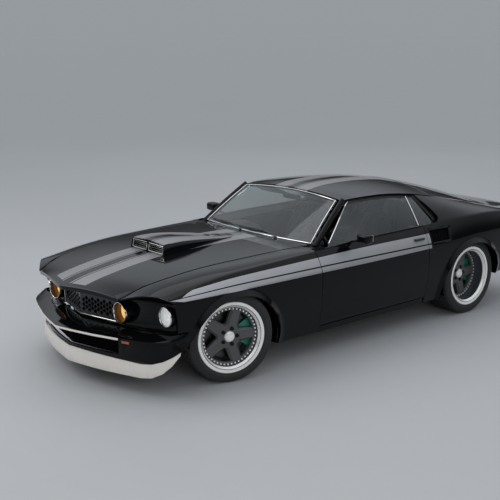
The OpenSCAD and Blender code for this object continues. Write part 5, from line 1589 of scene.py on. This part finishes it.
    def ambers(self) -> None:
        """Lit amber lamps beside the grille, and the signals in the intake's upper corners."""
        where, steps = Matrix.Translation(self.amber) @ FORWARD, self.lamp_steps
        sleeve = Shape().lathe([(77.6, 0), (79.5, 0), (79.5, 57), (77.6, 57)], steps, where)
        bucket = Shape().lathe([(67, 0), (77.5, 0), (77.5, 58), (70, 66), (67, 60)], steps, where)
        ring = Shape().lathe([(70, 56), (78, 56), (78, 70), (76, 73.5), (73, 73.5), (70, 69)], steps, where)
        lens = Shape().lathe(self.dome(67.5, 10.0, 12.0, 5.0), steps, where, False)
        for k in range(5):
            r = 12.0 + 11.0 * k
            z = 10.0 + 12.0 * (1.0 - (r / 67.5) ** 2)
            lens.lathe([(r - 2.0, z - 1.0), (r, z + 1.6), (r + 2.0, z - 1.4)], steps, where)
        sleeve.mirrored().publish("amber_sleeves", "body", Finishes.black, "trim_black")
        bucket.mirrored().publish("amber_buckets", "body", Finishes.bucket, "trim_black")
        ring.mirrored().publish("amber_rings", "body", Finishes.chrome, "lamp_amber")
        lens.mirrored().publish("amber_lenses", "body", Finishes.amber, "lamp_amber", ["amber_lamps"])
        turn = Matrix.Translation(self.signal) @ Matrix.Rotation(math.radians(18.0), 4, "Z")
        signal = Shape().box((-10.0, -32.0, -16.0), (10.5, 32.0, 16.0), 3.0, 3, turn)
        for k in range(-3, 4):
            signal.box((10.0, k * 8.5 - 1.2, -13.0), (11.6, k * 8.5 + 1.2, 13.0), 0.6, 1, turn)
        signal.mirrored().publish("signal_lenses", "body", Finishes.signal, "lamp_amber")


@dataclass
class Tail:
    """Tail lamps with their bezels and the rear bumper."""

    back: float = -2337.0
    first: float = 440.0
    pitch: float = 104.0
    wide: float = 76.0
    low: float = 620.0
    high: float = 778.0

    def build(self) -> None:
        """Builds lamps, bezels and bumper."""
        lamps = Shape.of_node("tail_lamps").round_sharp(4.0, 40.0, 3)
        lamps.publish("tail_lenses", "body", Finishes.red, "lamp_red", ["tail_lamps"])
        bezel = Shape()
        for k in range(3):
            a = self.first + k * self.pitch
            corners = ((a, self.low), (a + self.wide, self.low), (a + self.wide, self.high), (a, self.high))
            path = [Vector((self.back, y, z)) for y, z in around(corners, (4,) * 4)]
            bezel.sweep(path, 9.0, 9.0, AHEAD, 8, True)
        bezel.mirrored().publish("tail_bezels", "body", Finishes.trim, "trim_black")
        bumper = Shape.of_node("rear_bumper").round_sharp(7.0, 40.0, 3)
        bumper.publish("rear_bumper_dressed", "body", Finishes.black, "body_paint", ["rear_bumper"])


# ---- wheels


@dataclass
class Corner:
    """One wheel with its tyre and bolts, about an axle that points outboard."""

    name: str
    centre: Point
    axle: Point
    radius: float
    half: float
    dish: float
    rim: float = 266.0
    steps: int = 180
    bolts: int = 45
    bolt_circle: float = 209.0
    nut_circle: float = 61.0
    steer: ClassVar[float] = math.radians(14.0)

    @classmethod
    def all(cls) -> list["Corner"]:
        """The four corners of the car."""
        s, c = math.sin(cls.steer), math.cos(cls.steer)
        return [cls("fl", (1412.6, 738.3, 339.0), (s, c, 0.0), 339.0, 127.0, 40.0),
                cls("fr", (1383.5, -738.3, 339.0), (-s, -c, 0.0), 339.0, 127.0, 40.0),
                cls("rl", (-1323.0, 738.0, 343.0), (0.0, 1.0, 0.0), 343.0, 146.0, 120.0),
                cls("rr", (-1323.0, -738.0, 343.0), (0.0, -1.0, 0.0), 343.0, 146.0, 120.0)]

    @property
    def where(self) -> Matrix:
        """The wheel's own frame: Z along the axle, Y up."""
        along = Vector(self.axle).normalized()
        turn = Matrix((UP.cross(along), UP, along)).transposed().to_4x4()
        return Matrix.Translation(self.centre) @ turn

    @property
    def face(self) -> float:
        """Height of the spokes' outer face along the axle."""
        return self.half - 6.0 - self.dish

    def spun(self, share: float) -> Matrix:
        """The wheel's frame, turned about the axle by a share of a full turn."""
        return self.where @ Matrix.Rotation(2.0 * math.pi * share, 4, "Z")

    def publish(self, shape: Shape, piece: str, finish: Finish, replaces: Sequence[str] = (),
                sharp: float = 34.0) -> None:
        """Lets a shape ride on this wheel, whose name ends the piece's name."""
        shape.publish(f"{piece}_{self.name}", f"wheel_{self.name}", finish, "wheel_grey", replaces, sharp)

    def build(self) -> None:
        """Builds tyre, barrel, spokes and fasteners."""
        self.tyre()
        self.barrel()
        self.spokes()
        self.fasteners()

    def tyre(self) -> None:
        """A tyre with grooves round it and cut tread blocks."""
        r, h = self.radius, self.half
        wall = [(256.5, h - 15.5), (266.5, h - 15.3), (268.5, h - 6.0), (274.0, h - 2.0), (288.0, h - 0.3),
                (291.0, h + 0.8), (294.0, h - 0.6), (r - 32, h - 3.0), (r - 22, h - 5.5), (r - 12, h - 10.0),
                (r - 6, h - 16.0), (r - 3, h - 22.0), (r - 0.8, h - 31.0), (r, h - 40.0)]
        w = h - 40.0
        tread = []
        for share in (0.66, 0.22, -0.22, -0.66):
            tread += [(r, share * w + 5.0), (r - 6.5, share * w + 3.6), (r - 6.5, share * w - 3.6),
                      (r, share * w - 5.0)]
        section = wall + tread + [(a, -b) for a, b in reversed(wall)]
        shape = Shape().lathe(section, self.steps)
        cut = []
        for f in shape.bm.faces:
            c = f.calc_center_median()
            step = int((math.atan2(c.y, c.x) / (2.0 * math.pi) + 0.5) * self.steps)
            far = math.hypot(c.x, c.y)
            if far > r - 3.5 and (step + (2 if c.z > 0 else 0)) % 4 == 0 and abs(f.normal.z) < 0.5:
                cut.append(f)
        bmesh.ops.recalc_face_normals(shape.bm, faces=shape.bm.faces)
        bmesh.ops.inset_individual(shape.bm, faces=cut, thickness=1.0, depth=-4.5)
        bmesh.ops.transform(shape.bm, matrix=self.where, verts=shape.bm.verts)
        shape.publish(f"tyre_{self.name}_treaded", f"wheel_{self.name}", Finishes.rubber, "tyre_rubber",
                      [f"tyre_{self.name}"])

    def barrel(self) -> None:
        """The polished, stepped lip and the brushed barrel behind it."""
        h, face, r = self.half, self.face, self.rim
        bands = [(r, h - 14.5), (r, h - 9.5), (r - 3, h - 6.5), (r - 8, h - 6.5), (r - 24, h - 10.5),
                 (r - 25, h - 16.0), (r - 28.5, h - 16.0), (r - 29.5, h - 12.5), (r - 43, h - 28.0),
                 (r - 43, h - 33.0), (r - 20, h - 33.0), (r - 10.2, h - 15.2)]
        wall = [(r - 42, h - 32.5), (r - 40, face + 3.0), (r - 40, face - 8.0), (r - 30, face - 40.0),
                (r - 30, -h + 34), (r - 20, -h + 16), (r - 8, -h + 7), (r - 4, -h + 6.5), (r, -h + 9),
                (r, -h + 14.5), (r - 10.2, -h + 15.2), (r - 12, -h + 40), (r - 20, -h + 60),
                (r - 22, face - 30.0), (r - 21, h - 32.5)]
        # The lip's finish, also on the bolts and cap, is partly painted sheen.
        for word, section, finish in (("rim", bands, Finishes.lip), ("barrel", wall, Finishes.barrel)):
            self.publish(Shape().lathe(section, 120, self.where), word, finish, sharp=40.0)

    def spokes(self) -> None:
        """Five broad spokes, the ring that carries them and the hub."""
        f = self.face
        wide = [(-52, 46), (52, 46), (41, 214), (-41, 214)]
        narrow = [(a * 0.66, b) for a, b in wide]
        shape = Shape()
        for k in range(5):
            spin = self.spun(k / 5 - 0.25)
            shape.prism(narrow, f - 30.0, f, spin)
            shape.wedge(wide, narrow, f - 42.0, f - 14.0, f - 0.3, spin)
        z = self.half - 15.5
        for section in ([(237.4, z - 1), (240.6, z - 1), (240.6, z + 1), (237.4, z + 1)],
                        [(194, f - 36), (228, f - 36), (228, f - 2), (226, f), (200, f), (194, f - 6)]):
            shape.lathe(section, 120, self.where)
        shape.lathe([(0, f - 42), (98, f - 42), (98, f - 14), (90, f - 4), (76, f - 1.5), (0, f - 1.5)], 80,
                    self.where, False)
        self.publish(shape, "spokes", Finishes.spoke, [f"wheel_{self.name}"], 28.0)

    def fasteners(self) -> None:
        """The rim's small bolts, the bare cap and the five black nuts."""
        bright, dark, f = Shape(), Shape(), self.face
        for k in range(self.bolts):
            where = self.spun(k / self.bolts) @ Matrix.Translation((0.0, self.bolt_circle, f + 2.5))
            bmesh.ops.create_cone(bright.bm, cap_ends=True, segments=6, radius1=7.4, radius2=6.2, depth=8.0,
                                  matrix=where)
        bright.lathe([(0, f + 17), (16, f + 16.5), (28, f + 14.5), (36, f + 10), (41, f + 3), (41, f - 4),
                      (0, f - 4)], 64, self.where, False)
        for k in range(5):
            where = self.spun(k / 5 - 0.25) @ Matrix.Translation((0.0, self.nut_circle, f + 4.0))
            bmesh.ops.create_cone(dark.bm, cap_ends=True, segments=12, radius1=15.5, radius2=13.0, depth=14.0,
                                  matrix=where)
        self.publish(bright, "rim_bolts", Finishes.lip, sharp=25.0)
        self.publish(dark, "lug_nuts", Finishes.black, sharp=25.0)


# ---- small parts and cabin


@dataclass
class DoorFittings:
    """Mirror, handle and inner card of one door."""

    side: Side
    shell: tuple[Point, Point] = ((110.0, 886.0, 865.0), (198.0, 1003.0, 939.0))
    stalk: Rows = ((152, 800, 858), (152, 840, 868), (153, 880, 882), (154, 905, 892))
    mirror: tuple[Point, Point] = ((106.5, 898.0, 876.0), (111.0, 991.0, 928.0))
    handle: tuple[Point, Point] = ((-668.0, 862.0, 764.0), (-552.0, 884.0, 786.0))
    handle_feet: Pair = (-660.0, -560.0)

    def build(self) -> None:
        """Builds the fittings on their door."""
        shell = Shape().box(*self.shell, 24.0, 5).sweep([Vector(p) for p in self.stalk], 30.0, 16.0, UP, 12)
        shell.on(self.side, "mirror_shell_{}", "door_{}", Finishes.black, "trim_black", ["mirror_{}"])
        glass = Shape().box(*self.mirror, 2.0)
        glass.on(self.side, "mirror_glass_{}", "door_{}", Finishes.mirror, "trim_black")
        handle = Shape().box(*self.handle, 7.0, 3)
        for x in self.handle_feet:
            handle.box((x - 10.0, 838.0, 766.0), (x + 10.0, 872.0, 784.0), 4.0)
        handle.on(self.side, "door_handle_{}", "door_{}", Finishes.trim, "trim_black")

        def at(u: float, v: float, out: float = 0.0) -> Vector:
            """A point on the door's inner card."""
            s = mix(LINES.share_at(0.0, 300.0), 1.9, v)
            x = mix(470.0, -690.0, u)
            return LINES.side(x, s) + LINES.inward(s, 91.0 + out)

        card = Shape().skin(30, 24, lambda u, v: at(u, v, 9.0), at, 3.0)
        card.on(self.side, "door_card_{}", "door_{}", Finishes.plastic, "cabin_plastic")


@dataclass
class Cushion:
    """A stuffed cushion on a frame of three axes, with rolled edges and sewn channels."""

    corner: Vector
    along: Vector
    across: Vector
    up: Vector
    thick: float
    channels: int = 5
    bolster: float = 14.0
    taper: float = 1.0

    def at(self, u: float, v: float, top: bool) -> Vector:
        """A point on the cushion's upper or lower side."""
        a, b = 2.0 * u - 1.0, 2.0 * v - 1.0
        roll = math.sqrt(max(0.0, (1.0 - abs(a) ** 7) * (1.0 - abs(b) ** 7)))
        width = mix(1.0, self.taper, u)
        round_off = 1.0 - 0.06 * max(0.0, abs(b) - 0.7) / 0.3
        base = (self.corner + self.along * mix(0.5, u, round_off) + self.across * (0.5 + (v - 0.5) * width))
        if not top:
            return base - self.up * self.thick * 0.12 * roll
        crown = 0.80 + 0.20 * (1.0 - a * a) * (1.0 - b * b)
        height = self.thick * (0.28 + 0.72 * roll) * crown
        height += self.bolster * math.exp(-((abs(b) - 0.78) / 0.14) ** 2) * roll
        if abs(b) < 0.62:
            share = (b / 0.62 + 1.0) / 2.0
            height -= 9.0 * (1.0 - abs(math.sin(math.pi * self.channels * share)) ** 0.45) * roll
        elif abs(b) < 0.68:
            height -= 9.0 * roll * (0.68 - abs(b)) / 0.06
        return base + self.up * height

    def build(self, shape: Shape, cells: int = 56) -> None:
        """Adds the cushion to a shape."""
        shape.skin(28, cells, lambda u, v: self.at(u, v, True), lambda u, v: self.at(u, v, False), 6.0)


@dataclass
class Cabin:
    """Seats, dashboard, steering wheel, visors and lining."""

    seat_x: float = -280.0
    seat_y: float = 375.0

    def build(self) -> None:
        """Builds the cabin's pieces."""
        for side in Side:
            self.seat(side)
        self.rear_seat()
        self.dash()
        wheel = Shape.of_node("steering_wheel", 0.1)
        wheel.publish("steering_wheel_wrapped", "steering_wheel", Finishes.leather, "cabin_plastic",
                      ["steering_wheel"])
        self.lining()

    @staticmethod
    def stuffed(shape: Shape, name: str, fill: float, replaces: Sequence[str]) -> None:
        made = shape.publish(name, "body", Finishes.leather, "seat_leather", replaces, 70.0)
        soft = made.modifiers.new("soft", "SUBSURF")
        soft.levels = soft.render_levels = 1

    def seat(self, side: Side) -> None:
        """One front seat: base, back and headrest on rails."""
        x, y, low = self.seat_x, self.seat_y, self.seat_y - 215.0
        lean, front = Vector((-255.0, 0.0, 470.0)), Vector((0.88, 0.0, 0.477))
        shape = Shape()
        Cushion(Vector((x - 40.0, low, 340.0)), Vector((450.0, 0.0, 34.0)), ACROSS * 430.0, UP, 120.0,
                bolster=22.0).build(shape)
        Cushion(Vector((x - 92.0, low + 5.0, 440.0)), lean, ACROSS * 420.0, front, 105.0, bolster=26.0,
                taper=0.86).build(shape)
        Cushion(Vector((x - 345.0, low + 95.0, 918.0)), lean * 0.28, ACROSS * 240.0, front, 78.0, 1, 0.0,
                0.9).build(shape, 24)
        replaced = ["front_seats"] if side is Side.LEFT else []
        self.stuffed(shape.flipped(side), f"seat_{side.word}", 0.85, replaced)
        rails = Shape()
        for off in (-150.0, 150.0):
            rails.box((x - 60.0, y + off - 16.0, 216.0), (x + 400.0, y + off + 16.0, 345.0), 4.0)
        rails.box((x - 346.0, y - 190.0, 330.0), (x - 92.0, y + 190.0, 372.0), 6.0)
        for off in (-60.0, 60.0):
            post = Vector((x - 330.0, y + off, 860.0))
            rails.sweep([post, post + lean * 0.22], 11.0, 11.0, ACROSS, 10)
        rails.on(side, "seat_rails_{}", "body", Finishes.structure, "structure")

    def rear_seat(self) -> None:
        """The rear bench: two bases and two backs."""
        shape = Shape()
        for y in (-495.0, 5.0):
            Cushion(Vector((-1290.0, y, 525.0)), Vector((440.0, 0.0, 20.0)), ACROSS * 490.0, UP, 110.0,
                    bolster=10.0).build(shape)
            Cushion(Vector((-1292.0, y, 600.0)), Vector((-75.0, 0.0, 325.0)), ACROSS * 490.0,
                    Vector((0.974, 0.0, 0.225)), 80.0, bolster=10.0).build(shape)
        self.stuffed(shape, "rear_bench", 0.8, ["rear_seat"])

    def dash(self) -> None:
        """The dashboard, its two hooded cowls with piping, and dials behind them."""
        shape = Shape.of_node("dashboard").round_sharp(9.0, 35.0, 3)
        shape.publish("dashboard_skin", "body", Finishes.plastic, "cabin_plastic", ["dashboard"])
        hood, pipe, dial = Shape(), Shape(), Shape()
        lean = Matrix.Rotation(-math.pi / 2 - 0.2, 4, "Y")
        for y0 in (self.seat_y, -self.seat_y):
            def arc(u: float, v: float, grow: float = 0.0) -> Vector:
                """A point on the cowl's arch."""
                turn, rise = math.pi * v, mix(52.0, 8.0, smooth(u)) + grow
                return Vector((mix(232.0, 400.0, u), y0 + (190.0 + grow) * math.cos(turn),
                               mix(800.0, 806.0, u) + rise * math.sin(turn) ** 0.7))

            hood.skin(8, 40, lambda u, v: arc(u, v, 8.0), arc, 2.0)
            pipe.sweep([arc(0.0, i / 40, 4.0) for i in range(41)], 8.0, 8.0, AHEAD)
            for off in (-95.0, 0.0, 95.0):
                dial.lathe([(0, 0), (38, 0), (38, 20), (35, 24), (33, 20), (0, 19)], 40,
                           Matrix.Translation((262.0, y0 + off, 770.0)) @ lean, False)
        hood.publish("dash_cowls", "body", Finishes.plastic, "cabin_plastic")
        pipe.publish("dash_piping", "body", Finishes.stitch, "cabin_plastic")
        dial.publish("dash_dials", "body", Finishes.trim, "cabin_plastic")

    def lining(self) -> None:
        """The roof lining, two visors and the inner mirror."""
        rows = LINES.roof_rows

        def at(u: float, v: float, drop: float = 0.0) -> Vector:
            """A point under the roof."""
            q = mix(0.95, -0.95, v)
            x = mix(30.0, LINES.roof_back + 14.0, u)
            return LINES.crown(rows, x, q * 0.97) - UP * (LINES.lid + 2.0 + drop)

        cloth = Shape().skin(30, 30, at, lambda u, v: at(u, v, 6.0))
        cloth.publish("roof_lining_cloth", "body", Finishes.lining, "cabin_plastic")
        visors = Shape()
        tilt = Matrix.Rotation(math.radians(-24.0), 4, "Y")
        for y in (300.0, -300.0):
            z = LINES.crown(rows, 10.0, y / 600.0).z - 62.0
            visors.box((-75.0, -165.0, -9.0), (75.0, 165.0, 9.0), 8.0, 3,
                       Matrix.Translation((20.0, y, z)) @ tilt)
        visors.box((40.0, -105.0, 1082.0), (62.0, 105.0, 1126.0), 9.0, 3)
        visors.publish("visors_and_mirror", "body", Finishes.plastic, "cabin_plastic")


@dataclass
class Liner:
    """The dark inner arch over one axle's wheels: a real liner, in the near-black painted shade of the wheel
    well.
    """

    name: str
    x: float
    z: float
    radius: float
    inner: float
    ahead: float
    behind: float

    def build(self) -> None:
        """Builds the liner on both sides."""
        def at(u: float, v: float, grow: float) -> Vector:
            """A point on the arch."""
            turn = math.radians(mix(self.ahead, self.behind, u))
            r = self.radius + grow
            x, z = self.x + r * math.cos(turn), self.z + r * math.sin(turn)
            wall = LINES.track(LINES.side_rows, x, 1) - 16.0 - 0.8 * max(0.0, z - 650.0)
            return Vector((x, mix(self.inner, wall, v), z))

        shape = Shape().skin(48, 4, lambda u, v: at(u, v, 0.0), lambda u, v: at(u, v, 3.0))
        shape.mirrored().publish(f"arch_liners_{self.name}", "body", Finishes.recess, "structure")


class Works:
    """Underbody, drive train and brakes: the solids with their own finishes."""

    finishes: dict[str, Finish] = {
        "floor_pan": Finishes.carpet, "front_structure": Finishes.structure, "sills": Finishes.black,
        "hinge_posts": Finishes.structure, "rear_structure": Finishes.structure, "engine": Finishes.iron,
        "front_suspension": Finishes.iron, "rear_axle": Finishes.iron, "exhaust": Finishes.steel,
        "fuel_tank": Finishes.structure, "knuckle_left": Finishes.iron, "knuckle_right": Finishes.iron,
        "disc_fl": Finishes.disc, "disc_fr": Finishes.disc, "disc_rl": Finishes.disc, "disc_rr": Finishes.disc,
        "grille": Finishes.trim}

    def build(self) -> None:
        """Gives the solids their finishes and rounds the calipers."""
        for node, finish in self.finishes.items():
            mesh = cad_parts[node].data
            mesh.materials.clear()
            mesh.materials.append(finish.material())
            LOG.info("%s: solid in %s", node, finish.name)
        for node, body in (("caliper_left", "knuckle_left"), ("caliper_right", "knuckle_right"),
                           ("rear_calipers", "body")):
            shape = Shape.of_node(node).round_sharp(4.0, 35.0, 3)
            shape.publish(f"{node}_painted", body, Finishes.caliper, "calipers", [node])


# ---- studio


@dataclass
class Studio:
    """Floor, light and the camera at the photograph's angle."""

    eye: Point = (5.7726, 6.0400, 2.5236)
    yaw: float = -130.98
    pitch: float = -12.81
    lens: float = 70.8
    sensor: float = 36.0
    reach: float = 800.0
    lamps: tuple[tuple[str, Point, Point, Pair, float, bool], ...] = (
        ("overhead", (-0.2, -0.6, 5.6), (0.0, 0.0, 0.0), (8.0, 4.0), 80.0, True),
        ("key", (5.6, -3.2, 5.2), (0.8, 0.0, 0.4), (5.0, 5.0), 170.0, True),
        ("side", (4.0, 7.5, 2.6), (0.8, 0.5, 0.4), (4.0, 2.4), 120.0, False),
        ("back", (-7.5, -7.0, 6.5), (-1.0, 0.0, 0.8), (8.0, 4.0), 80.0, False))

    def build(self) -> None:
        """Builds floor, sky, lamps and camera."""
        self.floor()
        self.sky()
        for row in self.lamps:
            self.lamp(*row)
        self.camera()

    @staticmethod
    def floor() -> None:
        """A plain pale floor with faint mottling."""
        bm = bmesh.new()
        for p in bmesh.ops.create_grid(bm, x_segments=4, y_segments=4, size=400.0)["verts"]:
            p.co.z = 30.0 if p.is_boundary else 0.0
        mesh = bpy.data.meshes.new("floor")
        bm.to_mesh(mesh)
        bm.free()
        finish = Finish("pale_floor", (0.38, 0.383, 0.387), 0.62, grain=9.0, depth=0.05, spread=0.06, tone=0.07)
        mesh.materials.append(finish.material())
        made = bpy.data.objects.new("floor", mesh)
        bpy.context.scene.collection.objects.link(made)

    @staticmethod
    def sky() -> None:
        """A soft sky: dim at the horizon, bright above."""
        world = bpy.data.worlds.new("studio")
        bpy.context.scene.world = world
        world.use_nodes = True
        g = Graph(world.node_tree)
        g.tree.nodes.clear()
        up = g.add("ShaderNodeSeparateXYZ", {0: g.add("ShaderNodeTexCoord").outputs["Generated"]}).outputs[2]
        tone = g.colour(g.span(up, 0.10, 0.55), (0.05, 0.05, 0.052), (0.92, 0.98, 1.05))
        shade = g.add("ShaderNodeBackground", {"Color": tone, "Strength": 0.85})
        g.add("ShaderNodeOutputWorld", {0: shade.outputs[0]})

    @staticmethod
    def lamp(name: str, place: Point, aim: Point, size: Pair, power: float, mirrored: bool) -> None:
        """A soft area lamp that looks at a point and may show in reflections.

        Args:
            name: Its name.
            place: Where it stands, in metres.
            aim: The point that it looks at.
            size: Its width and height.
            power: Its power in watts.
            mirrored: Whether glossy surfaces show it.
        """
        data = bpy.data.lights.new(name, "AREA")
        data.shape = "RECTANGLE"
        data.size, data.size_y = size
        data.energy = power
        made = bpy.data.objects.new(name, data)
        made.location = place
        made.rotation_euler = (Vector(aim) - Vector(place)).to_track_quat("-Z", "Y").to_euler()
        made.visible_glossy = mirrored
        bpy.context.scene.collection.objects.link(made)

    def camera(self) -> None:
        """The camera as worked out from the photograph."""
        yaw, pitch = math.radians(self.yaw), math.radians(self.pitch)
        ahead = Vector((math.cos(pitch) * math.cos(yaw), math.cos(pitch) * math.sin(yaw), math.sin(pitch)))
        right = Vector((math.sin(yaw), -math.cos(yaw), 0.0))
        turn = Matrix((right, right.cross(ahead), -ahead)).transposed()
        data = bpy.data.cameras.new("camera")
        data.lens, data.sensor_width, data.clip_end = self.lens, self.sensor, self.reach
        made = bpy.data.objects.new("camera", data)
        made.location = self.eye
        made.rotation_euler = turn.to_euler()
        bpy.context.scene.collection.objects.link(made)
        bpy.context.scene.camera = made
        bpy.context.scene.view_settings.view_transform = "Standard"


def main() -> None:
    """Builds the car piece by piece."""
    logging.basicConfig(level=logging.INFO, format="%(name)s: %(message)s")
    for side in Side:
        Flank(side).build()
    for part in (Top(), HoodScoop(), Glazing(), Nose(), Tail(), *Corner.all(), *map(DoorFittings, Side),
                 Cabin(), Liner("front", LINES.xf, 339.0, 402.0, 690.0, 0.0, 197.0),
                 Liner("rear", LINES.xr, 343.0, 385.0, 600.0, -18.0, 184.0), Works(), Studio()):
        part.build()
        LOG.info("%s built", type(part).__name__)


if __name__ == "__main__":
    main()
